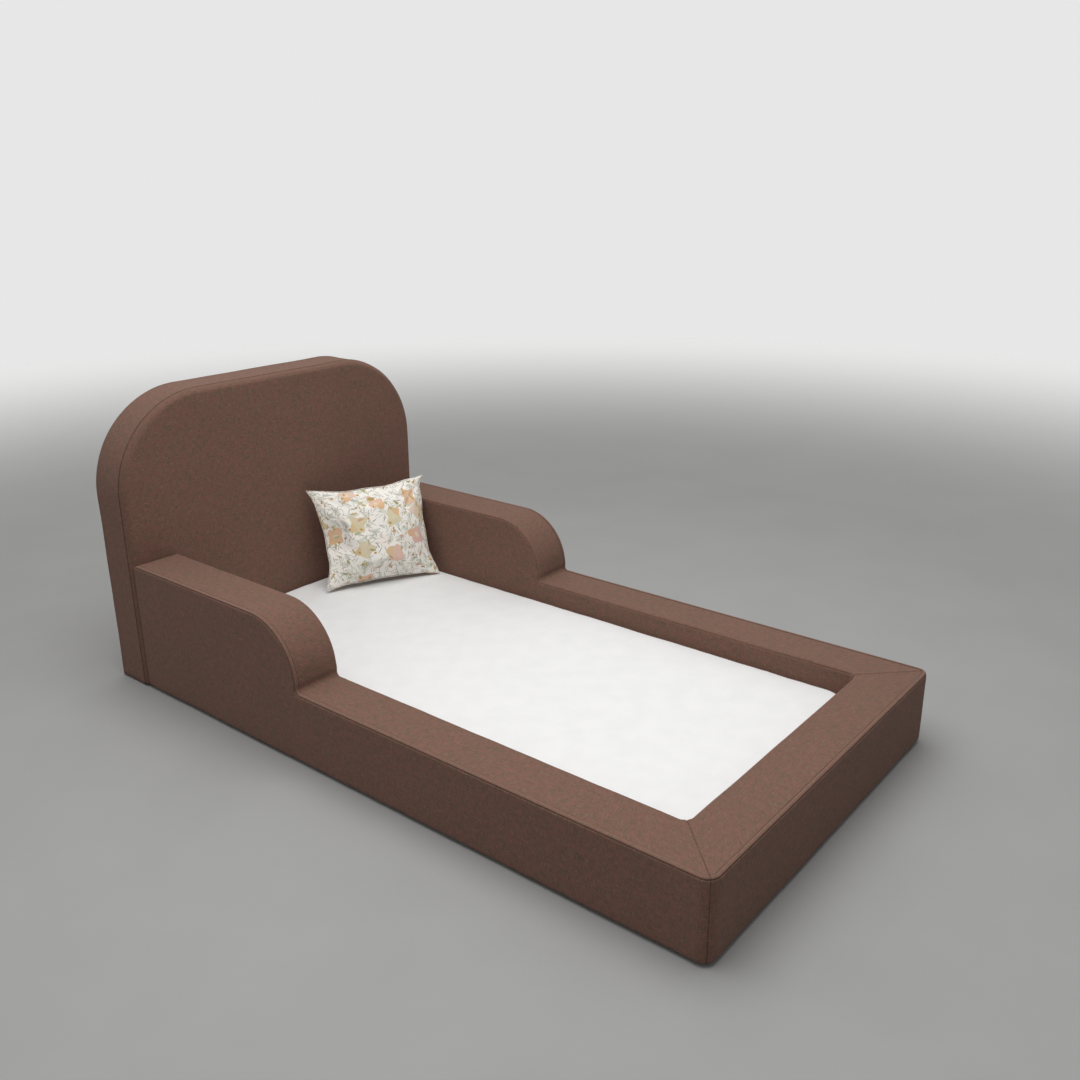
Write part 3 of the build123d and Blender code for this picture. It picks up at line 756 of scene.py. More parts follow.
# %% Foot cover
def foot_cover():
    lines = []
    for plan, way in corner_lines(foot_face + half_width):
        turned = np.column_stack([plan[:, 1] - foot_face - half_width, plan[:, 0] + half_width + foot_face])
        other = turned[::-1][1:] * [-1, 1]
        ways = np.vstack([way[:, ::-1], way[::-1, ::-1][1:] * [-1, 1]])
        lines.append((lift(np.vstack([turned, other]), rail_top), lift(ways, 0.0)))
    outer, inner = lines
    rise = np.tile(upward, (len(outer[0]), 1))
    points, ways, runs = rail_grid(outer, inner, rise, outer[0], inner[0], 0)
    shaped, marks = shape_cloth(points, ways, runs, False)
    along = run_along((outer[0] + inner[0]) / 2)
    rail_cover("foot_rail_cloth", shaped, marks, along, 0, False, "foot_rail_cover")
    return shaped, ways


foot_rail = foot_cover()

# %% [markdown]
# ## Headboard covers
# A sewn box: a front panel that rolls over the foam's edge, a gusset strip round the arch, and a thin back
# panel. All three follow one outline, up one side, round both wide corners and down the other, so it is
# written once. The front is filled with rings that shrink towards the middle of its lower edge, which keeps
# its map undistorted.


# %% The headboard's outline
head_radius = 0.306
head_roll = 0.020
back_roll = 0.005


def head_outline(step=0.012):
    """Places (x, z) round the arch with their outward ways, from the lower left to the lower right."""
    side, top, radius = half_width, head_top, head_radius
    rise = np.linspace(hem_z, top - radius, int((top - radius - hem_z) / step))
    turns = np.radians(np.linspace(180, 90, 42))[1:-1]
    across = np.linspace(radius - side, 0, int((side - radius) / step))
    left = [(-side, z, -1.0, 0.0) for z in rise]
    left += [(radius - side + radius * cos(a), top - radius + radius * sin(a), cos(a), sin(a)) for a in turns]
    left += [(x, top, 0.0, 1.0) for x in across]
    left = np.array(left)
    right = left[::-1][1:] * [-1, 1, -1, 1]
    both = np.vstack([left, right])
    return both[:, :2], both[:, 2:]


def upright(plane, y):
    """(x, z) places, or ways, stood up at y."""
    return np.column_stack([plane[:, 0], np.full(len(plane), y), plane[:, 1]])


head_seam_y = head_front + head_roll
head_line, head_way = head_outline()
head_out = upright(head_way, 0.0)
print("headboard outline", round(run_along(head_line)[-1], 2), "m long")

# %% [markdown]
# The gusset is one long strip, sewn to the front panel and to the back panel. Each seam is a narrow groove,
# and the cloth swells a little beside it, so the strip has close rows there and a few wide ones in between.
# Each groove also gets painted shade.

# %% Gusset
seam_gaps = np.array([0, 0.0008, 0.0016, 0.0026, 0.004, 0.006, 0.009, 0.014])
seam_shade = 0.0016


def seam_dip(distance):
    """The groove at a seam, with the cloth swelling a little beside it."""
    return 0.0011 * bump_at(distance - 0.0038, 0.0024) - 0.0013 * bump_at(distance, 0.0013)


def sew_headboard(name, points, cloth_map, dark, outside_in, replaced):
    """One panel of the headboard's cover; dark is each row's painted shade, full in a seam's groove."""
    cloth = sewn_grid(name, points, [cloth_map], np.zeros(points.shape[1] - 1, int), flip=outside_in)
    paint_seam_shade_and_highlight(cloth, np.tile(dark, len(points)))
    dress(thicken(cloth), cover_cloth, "bed", "cover_fabric", replaced)
    print(name, len(cloth.data.vertices), "points")


def gusset():
    back_seam = head_back - back_roll
    middle = np.linspace(head_seam_y + 0.02, back_seam - 0.02, 6)
    depth = np.concatenate([head_seam_y + seam_gaps, middle, (back_seam - seam_gaps)[::-1]])
    rows = []
    for y in depth:
        place = upright(head_line, y)
        dip = seam_dip(np.array(y - head_seam_y)) + seam_dip(np.array(back_seam - y))
        rows.append(place + head_out * (dip + unevenness(place, 0.0006)[:, None]))
    points = np.stack(rows, 1)
    run = np.broadcast_to(run_along(head_line)[:, None], points.shape[:2])
    # Painted shade in the two seam grooves.
    dark = bump_at(depth - head_seam_y, seam_shade) + bump_at(back_seam - depth, seam_shade)
    sew_headboard("headboard_gusset_cloth", points, np.stack([run, points[..., 1] + 7.0], -1), dark, True,
                  "headboard_gusset")


gusset()

# %% [markdown]
# A panel starts at its seam, rolls over the foam's edge and runs in over the face. The front panel's middle
# is fuller than its rim, since the foam under it is cut in one piece and pulled down at the edge. One
# function makes both panels, so a change to one reaches the other.


# %% Front and back panels
def panel_rows(face_y, roll, way_y):
    """Rows over a panel from its seam to the middle of its lower edge: places, outward ways and runs."""
    rolled_deep = roll > 0.01
    seam_y = face_y - way_y * roll
    rows = [(upright(head_line, seam_y), head_out, run) for run in (0.0, -0.0008) if rolled_deep]
    for a in np.radians(np.linspace(0, 90, 19 if rolled_deep else 7)):
        plane = head_line - head_way * roll * (1 - cos(a))
        plane[:, 1] = np.maximum(plane[:, 1], hem_z)
        out = head_out * cos(a) + [0, way_y * sin(a), 0]
        rows.append((upright(plane, seam_y + way_y * roll * sin(a)), out, a * roll))
    edge = head_line - head_way * roll
    edge[:, 1] = np.maximum(edge[:, 1], hem_z)
    middle = np.array([0.0, hem_z])
    for share in np.linspace(0, 1, 46)[1:]:
        ring = edge + (middle - edge) * share
        rows.append((upright(ring, face_y), np.tile([0, way_y, 0], (len(ring), 1)), roll * 2 + share * 0.4))
    places, ways, runs = zip(*rows)
    return np.stack(places, 1), np.stack(ways, 1), np.array(runs)


def crowned(points, runs):
    """0 low down and at the rim, rising softly to 1 in the middle of the upper part."""
    high = np.clip((points[..., 2] - 0.45) / 0.2, 0, 1)
    return high * high * (3 - 2 * high) * np.clip(runs / 0.3, 0, 1)


def head_panel(name, face_y, roll, way_y, replaced, crown):
    """A panel over the face at face_y, whose edge rolls away from way_y to meet the gusset's seam."""
    points, ways, runs = panel_rows(face_y, roll, way_y)
    height = unevenness(points, 0.0009) + seam_dip(runs) + crown * crowned(points, runs)
    points = points + ways * np.clip(height, -0.0014, 0.004)[..., None]
    flat = np.stack([points[..., 0] + 11.0, points[..., 2]], -1)
    unrolled = flat + ways[..., [0, 2]] * np.maximum(roll * pi / 2 - runs, 0)[:, None]
    # Painted shade in the groove of the seam to the gusset.
    sew_headboard(name, points, unrolled, bump_at(runs, seam_shade), way_y < 0, replaced)


head_panel("headboard_front_cloth", head_front, head_roll, -1.0, "headboard_front_cover", 0.002)
head_panel("headboard_back_cloth", head_back, back_roll, 1.0, "headboard_back_cover", 0.0)

# %% [markdown]
# ## Topstitching
# The covers are sewn with a long stitch in a thread a shade darker than the cloth. A dotted line in the
# finish would pass from afar, but a real stitch catches the light, so each one is a tiny capsule laid in
# the groove, 4 mm long with a 1 mm gap. Every line of stitches follows the cover's own points.


# %% Wires and threads
def bars(points, faces, rings):
    """Adds a bar through rings of points, with both its ends closed."""
    base, sides = len(points), len(rings[0])
    for ring in rings:
        points += ring
    for k in range(len(rings) - 1):
        for t in range(sides):
            u = (t + 1) % sides
            low, high = base + sides * k, base + sides * (k + 1)
            faces.append((low + t, low + u, high + u, high + t))
    faces.append(tuple(base + t for t in range(sides - 1, -1, -1)))
    faces.append(tuple(base + sides * (len(rings) - 1) + t for t in range(sides)))


def on_line(line, run, at):
    """The place, or way, at a distance along a line."""
    return np.array([np.interp(at, run, line[:, k]) for k in range(3)])


# %% Stitches
stitch_length, stitch_gap, stitch_radius = 0.004, 0.001, 0.00035
stitch_form = ((0.0, 0.35), (0.12, 1.0), (0.88, 1.0), (1.0, 0.35))
stitch_turns = np.arange(6) * pi / 3
tiny = 1e-9


def stitch(start, end, way):
    """Rings round one stitch, whose ends are narrower than its middle."""
    way = way / max(np.linalg.norm(way), tiny)
    ahead = (end - start) / max(np.linalg.norm(end - start), tiny)
    side = np.cross(ahead, way)
    rings = []
    for share, wide in stitch_form:
        middle = start + (end - start) * share + way * stitch_radius * (wide - 1.0 + 0.5)
        rings.append([middle + (side * cos(t) + way * sin(t)) * stitch_radius * wide for t in stitch_turns])
    return rings


def stitches(name, lines):
    """Stitches along polylines; each line is (places, outward ways)."""
    points, faces = [], []
    for line, ways in lines:
        run = run_along(line)
        for start in np.arange(0.003, run[-1] - stitch_length - 0.002, stitch_length + stitch_gap):
            ends = on_line(line, run, start), on_line(line, run, start + stitch_length)
            bars(points, faces, stitch(*ends, on_line(ways, run, start)))
    loops = np.array([points[v][:2] for f in faces for v in f])
    dress(put_in_scene(name, points, faces, loops), thread_cloth, "bed", "cover_fabric")
    print(name, len(points) // (len(stitch_form) * len(stitch_turns)), "stitches")


groove_first = first_round + groove_step
groove_second = first_round + len(round_angles) + int(np.argmin(np.abs(near_edge - 0.0028)))
for name, (points, ways) in (("left_rail_topstitch", left_rail), ("right_rail_topstitch", right_rail),
                             ("foot_rail_topstitch", foot_rail)):
    stitches(name, [(points[:, c], ways[:, c]) for c in (groove_first, groove_second)])

head_stitch = upright(head_line, head_seam_y + 0.0040) + head_out * 0.0009
stitches("headboard_topstitch", [(head_stitch, head_out)])

# %% [markdown]
# ## Mattress and fitted sheet
# The mattress is a foam core in a quilted ticking, and the sheet is one square of cotton whose corners are
# boxed and whose hem is gathered by elastic under the mattress. All of them share one shape, a rounded
# block, built as a grid over the top that carries on down the sides. At each corner the grid's square cells
# are bent round like the layers of an onion, so that the cells stay even and the map stays flat.


# %% A rounded block with an even grid
class Block:
    """A rounded block's surface: a grid over the top, then loops down the sides and in underneath."""

    def __init__(self, low, high, corner, edge, tuck, cell=0.011):
        self.low, self.high = np.array(low), np.array(high)
        self.corner, self.edge, self.tuck = corner, edge, tuck
        self.inner = corner - edge
        self.turns = max(int(round(self.inner / cell)), 2)
        self.size = self.high[:2] - self.low[:2] - 2 * edge
        self.counts = [int(round((s - 2 * self.inner) / cell)) + 2 * self.turns for s in self.size]
        self.add_top()
        self.add_sides()

    def ticks(self, k):
        """Grid lines along one side of the top, denser in the corners."""
        ends = np.linspace(0, self.inner, self.turns + 1)
        middle = np.linspace(self.inner, self.size[k] - self.inner, self.counts[k] - 2 * self.turns + 1)
        return np.concatenate([ends[:-1], middle, self.size[k] - ends[:-1][::-1]])

    def add_top(self):
        """The top's grid, with its corner cells bent round the corner."""
        grid = np.stack(np.meshgrid(self.ticks(0), self.ticks(1), indexing="ij"), -1)
        self.flat = grid + self.low[:2] + self.edge
        half = self.size / 2
        local = grid - half
        core = half - self.inner
        over = np.abs(local) - core
        in_corner = (over > tiny).all(-1)
        ring = over.max(-1)
        share = np.divide(over.min(-1), ring, out=np.zeros_like(ring), where=in_corner)
        angle = pi / 4 * np.where(over[..., 0] >= over[..., 1], share, 2 - share)
        bent = np.stack([np.cos(angle), np.sin(angle)], -1) * ring[..., None] + core
        bent = np.where(in_corner[..., None], bent, np.abs(local)) * np.where(local < 0, -1, 1)
        self.top = bent + half + self.low[:2] + self.edge
        self.top_faces = grid_faces(*self.top.shape[:2])

    def steps(self):
        """Each loop below the top: how far out and down it is, its way out and up, and the run to it."""
        side = self.high[2] - self.low[2] - 2 * self.edge
        bend = self.edge * pi / 2
        steps = [(self.edge * sin(a), self.edge * (cos(a) - 1), sin(a), cos(a), self.edge * a)
                 for a in np.radians(np.linspace(0, 90, 8))[1:]]
        steps += [(self.edge, -self.edge - side * f, 1.0, 0.0, bend + side * f)
                  for f in np.linspace(0, 1, 6)[1:]]
        steps += [(self.edge * cos(a), -self.edge - side - self.edge * sin(a), cos(a), -sin(a),
                   bend + side + self.edge * a) for a in np.radians(np.linspace(0, 90, 6))[1:]]
        under = self.tuck - self.edge
        if under > 0:
            steps += [(-under * f, self.low[2] - self.high[2], 0.0, -1.0, bend + side + bend + under * f)
                      for f in np.linspace(0, 1, 7)[1:]]
        return steps

    def add_sides(self):
        """Loops of points that carry the top's rim down the sides and in underneath."""
        nx, ny = self.top.shape[:2]
        rim = [(i, 0) for i in range(nx)] + [(nx - 1, j) for j in range(1, ny)]
        rim += [(i, ny - 1) for i in range(nx - 2, -1, -1)] + [(0, j) for j in range(ny - 2, 0, -1)]
        i, j = np.array(rim).T
        line = self.top[i, j]
        out = line - np.clip(line, self.low[:2] + self.corner, self.high[:2] - self.corner)
        out /= np.linalg.norm(out, axis=1)[:, None]
        count = len(line)
        on_top = nx * ny
        rows = [(lift(self.top.reshape(-1, 2), self.high[2]), np.tile(upward, (on_top, 1)), np.zeros(on_top),
                 self.flat.reshape(-1, 2))]
        steps = self.steps()
        for move, drop, outward, lifted, run in steps:
            rows.append((lift(line + out * move, self.high[2] + drop), lift(out * outward, lifted),
                         np.full(count, run), self.flat[i, j] + out * run))
        self.points, self.ways, self.runs, self.maps = (np.concatenate(part) for part in zip(*rows))
        self.top_rim = i * ny + j
        loops = [self.top_rim] + [on_top + k * count + np.arange(count) for k in range(len(steps))]
        sides = [np.stack([a, b, np.roll(b, -1), np.roll(a, -1)], -1) for a, b in zip(loops, loops[1:])]
        self.faces = np.vstack([self.top_faces] + sides)
        self.hem = loops[-1]
        perimeter = run_along(np.vstack([line, line[:1]]))[:-1]
        self.around = np.concatenate([np.zeros(on_top), np.tile(perimeter, len(steps))])

    def closed(self):
        """The block with an underside: the top's grid again, the other way up."""
        count = self.flat.shape[0] * self.flat.shape[1]
        ids = np.full(count, -1)
        ids[self.top_rim] = self.hem
        inner = np.flatnonzero(ids < 0)
        ids[inner] = len(self.points) + np.arange(len(inner))
        place = self.points[inner]
        place[:, 2] = self.low[2]
        self.points = np.vstack([self.points, place])
        self.ways = np.vstack([self.ways, -self.ways[inner]])
        self.runs = np.append(self.runs, np.full(len(inner), self.runs[self.hem[0]]))
        self.maps = np.vstack([self.maps, self.maps[inner]])
        self.faces = np.vstack([self.faces, ids[self.top_faces][:, ::-1]])
        return self

    def sewn(self, name, height):
        """The block as a piece, its points moved outward by height."""
        points = self.points + self.ways * height[:, None]
        print(name, len(points), "points")
        return put_in_scene(name, points, self.faces, self.maps[self.faces])


# %% [markdown]
# The core is plain cut foam. The ticking over it is quilted: two rows of slanting stitch lines cross and
# pull the cloth down, and each diamond between them stands up. The quilting is real shape and not a bump in
# the finish, because the mattress may be looked at without its sheet.

# %% Mattress core and ticking
sheet_gap, core_gap, sole_gap = 0.0032, 0.0065, 0.0012
mattress_corner, mattress_edge = 0.080, 0.025
quilt_pitch, quilt_depth = 0.09, 0.0022


def inside_sheet(gap):
    """A closed block that fills the sheet but for a gap."""
    low = [sheet_low.x + gap, sheet_low.y + gap, sheet_low.z + sole_gap]
    high = [sheet_high.x - gap, sheet_high.y - gap, sheet_high.z - gap]
    edge = mattress_edge - gap
    return Block(low, high, mattress_corner - gap, edge, edge).closed()


core_block = inside_sheet(core_gap)
foam_core = core_block.sewn("mattress_foam", np.zeros(len(core_block.points)))

ticking_block = inside_sheet(sheet_gap)
quilt = ticking_block.maps / quilt_pitch
diamonds = np.abs(np.sin(quilt.sum(1) * pi / 2)) * np.abs(np.sin((quilt[:, 0] - quilt[:, 1]) * pi / 2))
on_side = np.clip((ticking_block.runs - 0.02) / 0.01, 0, 1)
quilting = (np.sqrt(diamonds) * quilt_depth - quilt_depth) * (1 - on_side)
ticking = ticking_block.sewn("mattress_ticking", quilting)

# %% [markdown]
# The sheet lies on the ticking with soft diagonal pulls near the headboard and a faint line over the
# mattress's edge seam. Below the sides the elastic gathers it, so ripples grow from nothing at the side to
# the hem. A draped simulation would give folds too, but not where they are wanted, so seeded dice lay them
# in groups, each with its own slant.

# %% Fitted sheet
hem_tuck = 0.090
ripple_pitch, ripple_height, gather_start, gather_run = 0.031, 0.0006, 0.10, 0.10
edge_line_in, edge_line_wander, edge_line_height, edge_line_width = 0.024, 0.004, 0.0015, 0.0045
sheet_most_in, sheet_most_out = 0.0018, 0.0022
sheet_block = Block(list(sheet_low), list(sheet_high), mattress_corner, mattress_edge, hem_tuck)
pull_dice = np.random.default_rng(5)
pull_groups = (  # how many, their slant in degrees, where their middles lie, their height and their reach
    (26, 50, ((-0.42, 0.05), (0.15, 0.90)), 0.0017, 1.0),
    (22, -35, ((-0.40, -0.85), (0.40, 0.10)), 0.0010, 0.9),
    (10, 80, ((-0.40, -0.3), (0.40, 0.85)), 0.0006, 1.2),
)


def pulls(places, count, slant, spread, height, reach):
    """Long shallow folds: each is a line with a soft cross-section, faded out at its ends."""
    total = np.zeros(len(places))
    for _ in range(count):
        middle = pull_dice.uniform(*spread)
        angle = radians(slant) + pull_dice.normal(0, 0.16)
        length, width = pull_dice.uniform(0.12, 0.34), pull_dice.uniform(0.008, 0.020)
        along = (places[:, 0] - middle[0]) * cos(angle) + (places[:, 1] - middle[1]) * sin(angle)
        off = (places[:, 1] - middle[1]) * cos(angle) - (places[:, 0] - middle[0]) * sin(angle)
        off = off + 0.02 * np.sin(along * 9 + middle[0] * 20)
        total += pull_dice.uniform(0.4, 1.0) * bump_at(along, length * reach) * bump_at(off, width)
    return total * height


sheet_places = sheet_block.points[:, :2]
sheet_rise = sum(pulls(sheet_places, *group) for group in pull_groups)
sheet_rise += unevenness(sheet_block.points * 1.6, 0.0007)
distance_in = np.minimum(half_width - thickness - 0.003 - np.abs(sheet_places[:, 0]),
                         np.minimum(sheet_places[:, 1] - sheet_low.y, sheet_high.y - sheet_places[:, 1]))
edge_line = edge_line_in + edge_line_wander * np.sin(sheet_places.sum(axis=1) * 17)
sheet_rise += edge_line_height * bump_at(distance_in - edge_line, edge_line_width)
gather = np.clip((sheet_block.runs - gather_start) / gather_run, 0, 1)
around = sheet_block.around
ripple = np.sin(around * 2 * pi / ripple_pitch + 2.2 * np.sin(around * 11))
sheet_rise = np.clip(sheet_rise, -sheet_most_in, sheet_most_out) * (1 - gather)
sheet_rise += gather * ripple * ripple_height
fitted_sheet = sheet_block.sewn("fitted_sheet_cotton", sheet_rise)
sheet_area = sum(p.area for p in fitted_sheet.data.polygons)
print("sheet area", round(sheet_area, 3))

# %% [markdown]
# The hem is a narrow casing with an elastic in it, which draws the sheet in under the mattress. It is a
# flat band that follows the hem's own points, so it can't come away from the cloth, and it is wavy as a
# ruched casing is.


# %% Elastic in the hem
def elastic_band():
    """A narrow ruched band round the hem's opening."""
    hem = sheet_block.points[sheet_block.hem]
    hem[:, 2] = sheet_low.z
    centre = hem.mean(0)
    inward = centre - hem
    inward[:, 2] = 0
    inward /= np.linalg.norm(inward, axis=1)[:, None]
    count = len(hem)
    wave = np.sin(np.arange(count) * 2.1)[:, None] * upward * 0.0003
    section = [(0, 0.0001), (0.003, 0.0004), (0.006, 0.0001), (0.006, 0.0009), (0.003, 0.0013), (0, 0.0009)]
    rows = [hem + inward * u + upward * v + wave for u, v in section + section[:1]]
    points = np.stack(rows, 0)
    faces = grid_faces(len(rows), count, closed=True)
    run, around = np.tile(np.arange(count), len(rows)) * 0.01, np.repeat(np.arange(len(rows)), count) * 0.003
    print("elastic", count, "stations")
    return put_in_scene("hem_elastic", points.reshape(-1, 3), faces, np.stack([run, around], -1)[faces])


elastic = elastic_band()

# %% [markdown]
# ## Cushion
# A cushion case is two squares sewn together flat, turned out, and stuffed. That is how it is made here: a
# flat envelope of two layers is blown up with a little pressure, with no gravity, so the edges pull in
# between the corners and the cloth puckers along the seam. It is then set to its real size and leaned in
# its corner.

# %% Cushion shape
cushion_width, cushion_height, cushion_depth = 0.430, 0.372, 0.116
cut_wider, cut_higher = 1.10, 1.11
cushion_yaw, cushion_lean = radians(-25), radians(18)
cushion_corner = np.array([0.026, head_front - 0.141, sheet_high.z + 0.0005])
cushion_along = np.array([cos(cushion_yaw), sin(cushion_yaw), 0])
cushion_up = np.array([-sin(cushion_yaw) * sin(cushion_lean), cos(cushion_yaw) * sin(cushion_lean),
                       cos(cushion_lean)])
cushion_face = np.cross(cushion_along, cushion_up)
cushion_middle = cushion_corner + cushion_along * cushion_width / 2 + cushion_up * cushion_height / 2
print("cushion", cushion_width, "by", cushion_height, "by", cushion_depth, "m")


def envelope(name, across=52, upward_cells=46):
    """Two layers of cloth joined at their rims, flat but for a little stuffing."""
    xs = np.linspace(-0.5, 0.5, across) * cushion_width * cut_wider
    ys = np.linspace(-0.5, 0.5, upward_cells) * cushion_height * cut_higher
    grid = np.stack(np.meshgrid(xs, ys, indexing="ij"), -1)
    rim = np.zeros(grid.shape[:2], bool)
    rim[[0, -1], :] = rim[:, [0, -1]] = True
    puff = 0.004 * np.cos(grid[..., 0] / xs[-1] * pi / 2) * np.cos(grid[..., 1] / ys[-1] * pi / 2)
    puff += 0.0004 * np.sin(grid[..., 0] * 61 + 1) * np.sin(grid[..., 1] * 53) * ~rim
    count = grid[..., 0].size
    front = np.concatenate([grid, puff[..., None]], -1).reshape(-1, 3)
    back_ids = np.arange(count).reshape(rim.shape)
    extra = np.cumsum(~rim.ravel()).reshape(rim.shape) - 1 + count
    back_ids = np.where(rim, back_ids, extra)
    back = (front * [1, 1, -1])[~rim.ravel()]
    faces = grid_faces(*rim.shape)
    faces_back = back_ids.ravel()[faces][:, ::-1]
    flat = grid.reshape(-1, 2)
    mirrored = flat[faces][:, ::-1].reshape(-1, 2) * [-1, 1] + [1.0, 0.3]
    loops = np.vstack([flat[faces].reshape(-1, 2), mirrored])
    return put_in_scene(name, np.vstack([front, back]), np.vstack([faces, faces_back]), loops), rim.ravel()


def blow_up(piece, frames=22):
    """Cloth with pressure inside and no gravity, then applied."""
    cloth = piece.modifiers.new("stuffing", "CLOTH")
    settings = cloth.settings
    settings.quality = 8
    settings.mass = 0.25
    settings.use_pressure = True
    settings.uniform_pressure_force = 4.0
    settings.tension_stiffness = settings.compression_stiffness = 40
    settings.shear_stiffness = 12
    settings.bending_stiffness = 0.4
    settings.tension_damping = settings.compression_damping = settings.shear_damping = 12
    settings.effector_weights.gravity = 0
    cloth.collision_settings.use_collision = False
    cloth.point_cache.frame_start, cloth.point_cache.frame_end = 1, frames
    for number in range(1, frames + 1):
        bpy.context.scene.frame_set(number)
    bpy.context.view_layer.update()
    blown = piece.evaluated_get(bpy.context.evaluated_depsgraph_get())
    points = np.array([v.co for v in blown.data.vertices])
    piece.modifiers.remove(cloth)
    bpy.context.scene.frame_set(1)
    return points


def held_in(flat, blown, reach=0.030):
    """Caps how far the seam pulls in, as the stuffing's own corners do."""
    pull = (blown - flat)[:, :2]
    far = np.linalg.norm(pull, axis=1)[:, None] + 1e-9
    print("seam pulls in by up to", round(float(far.max()), 3))
    made = blown.copy()
    made[:, :2] = flat[:, :2] + pull / far * reach * np.tanh(far / reach)
    return made


cushion, rim = envelope("cushion_case_cloth")
start = np.array([v.co for v in cushion.data.vertices])
shape = held_in(start, blow_up(cushion))
print("blown size", shape.max(0) - shape.min(0))

# %% [markdown]
# Pressure alone gives a taut balloon. Stuffing settles, so the lower half is kept fuller, the top corners
# are left as flat pointed ears, and a few soft creases run in from them. Sculpting would do this too, but
# not the same way twice. The cushion then leans in its corner: it stops at the sheet, at the headboard and
# at the guard.


# %% Settle and pose the cushion
seam_waver, sunk, slump = 0.012, 0.10, 0.045
ear_flat, ear_reach = 0.35, 0.55
fold_depth, fold_middle, fold_length, fold_width, fold_spread = 0.0050, 0.42, 0.26, 0.05, 17
fold_corners = ((-1, 1, -40), (1, 1, 218), (-1, -1, 38), (1, -1, 140))


def creases(u, v):
    """Three soft creases that fan out from each corner, 1 in the middle of a crease."""
    fold = np.zeros(len(u))
    for corner_u, corner_v, turn in fold_corners:
        for k in (-1, 0, 1):
            angle = radians(turn + fold_spread * k)
            along = (u - corner_u) * cos(angle) + (v - corner_v) * sin(angle)
            off = (v - corner_v) * cos(angle) - (u - corner_u) * sin(angle)
            fold += bump_at(along - fold_middle, fold_length) * bump_at(off, fold_width)
    return fold


def settle(shape):
    """Sets the blown shape to its size, and lets the stuffing sink, the seam waver and the ears flatten."""
    size = shape.max(0) - shape.min(0)
    made = (shape - (shape.max(0) + shape.min(0)) / 2) / size * 2
    u, v = made[:, 0].copy(), made[:, 1].copy()
    wave_u, wave_v = u ** 5 * np.sin(v * 10 + 3 * u), v ** 5 * np.sin(u * 9 + 2 * v)
    made[:, 0] -= u * (0.085 - 0.03 * v) * (1 - v ** 2) * np.abs(u) - seam_waver * wave_u
    made[:, 1] -= v * (0.025 + 0.035 * v) * (1 - u ** 2) * np.abs(v) - seam_waver * wave_v
    made = made / np.abs(made).max(0) * [cushion_width / 2, cushion_height / 2, cushion_depth / 2]
    made[:, 0] -= slump * (made[:, 1] + cushion_height / 2)
    made[:, 2] *= 1 - sunk * v * (1 - u ** 2)
    made[:, 2] *= 1 - ear_flat * bump_at(np.hypot(np.abs(u) - 1, np.abs(v) - 1), ear_reach)
    full = np.clip(np.abs(made[:, 2]) / 0.012, 0, 1)
    made[:, 2] -= np.sign(made[:, 2]) * creases(u, v) * fold_depth * full
    return made


def lean(local):
    """From the cushion's own plane into its corner of the bed, resting on the sheet."""
    placed = cushion_middle + local @ np.stack([cushion_along, cushion_up, cushion_face])
    floor, soft = sheet_high.z + 0.0004, 0.012
    low = np.clip(floor + soft - placed[:, 2], 0, None)
    placed[:, 2] = np.where(low > 0, floor + soft * np.exp(-low / soft), placed[:, 2])
    placed[:, 1] = np.minimum(placed[:, 1], head_front - 0.004)
    beside = placed[:, 2] < guard_top + 0.004
    placed[:, 0] = np.where(beside, np.minimum(placed[:, 0], well_x - 0.003), placed[:, 0])
    return placed


def put_points(piece, points):
    """Moves a piece's own points."""
    piece.data.vertices.foreach_set("co", points.ravel())
    piece.data.update()


def rounder(piece, levels=1):
    """One subdivision, applied, which also rounds off the clamped places."""
    finer = piece.modifiers.new("finer", "SUBSURF")
    finer.levels = finer.render_levels = levels
    made = bpy.data.meshes.new_from_object(piece.evaluated_get(bpy.context.evaluated_depsgraph_get()))
    piece.modifiers.clear()
    piece.data = made
    return piece


def insert_from(settled):
    """The stuffed inner bag: the same form, a little smaller."""
    inner, _ = envelope("cushion_insert_cloth")
    put_points(inner, lean(settled * [0.93, 0.93, 0.90]))
    return inner


settled = settle(shape)
posed = lean(settled)
put_points(cushion, posed)
insert = insert_from(settled)
print("cushion top at", round(float(posed[:, 2].max()), 3))

# %% [markdown]
# The two halves of the case meet in a fine sewn edge, and a thin welt runs right round it. It follows the
# case's own rim, in the order of the angle round the middle, so the two can't drift apart.

# %% Cushion edge
rim_ids = np.where(rim)[0]
rim_angle = np.arctan2(start[rim_ids, 1] * cushion_width / cushion_height, start[rim_ids, 0])
rim_order = rim_ids[np.argsort(rim_angle)]
rim_line = posed[rim_order]


def welt(name, line, radius=0.0011):
    """A thin sewn edge: a tube along a line whose end meets its start."""
    turn = np.arange(8) * pi / 4
    ahead = np.roll(line, -1, 0) - np.roll(line, 1, 0)
    ahead /= np.linalg.norm(ahead, axis=1)[:, None]
    side = np.cross(ahead, cushion_face)
    rows = [line + radius * (side * cos(t) + cushion_face * sin(t) * 0.7) for t in turn]
    rows.append(rows[0])
    points = np.stack(rows, 0)
    count = points.shape[1]
    faces = grid_faces(len(rows), count, closed=True)
    run = np.tile(np.arange(count) * 0.01, len(rows))
    around = np.repeat(np.arange(len(rows)), count) * 0.001
    return put_in_scene(name, points.reshape(-1, 3), faces, np.stack([run, around], -1)[faces])


cushion_welt = welt("cushion_edge_welt", rim_line)
cushion = rounder(cushion)
insert = rounder(insert)
print("cushion case", len(cushion.data.vertices), "points")

# %% [markdown]
# ## Printed cotton
# The case is cream cotton with a loose hand-drawn pattern: big pale blobs, leaves, small buds and many
# short brush strokes. Each motif comes from a Voronoi pattern: every cell has its own middle and a random
# colour, which turns the motif, picks its ink and decides whether it is drawn at all.


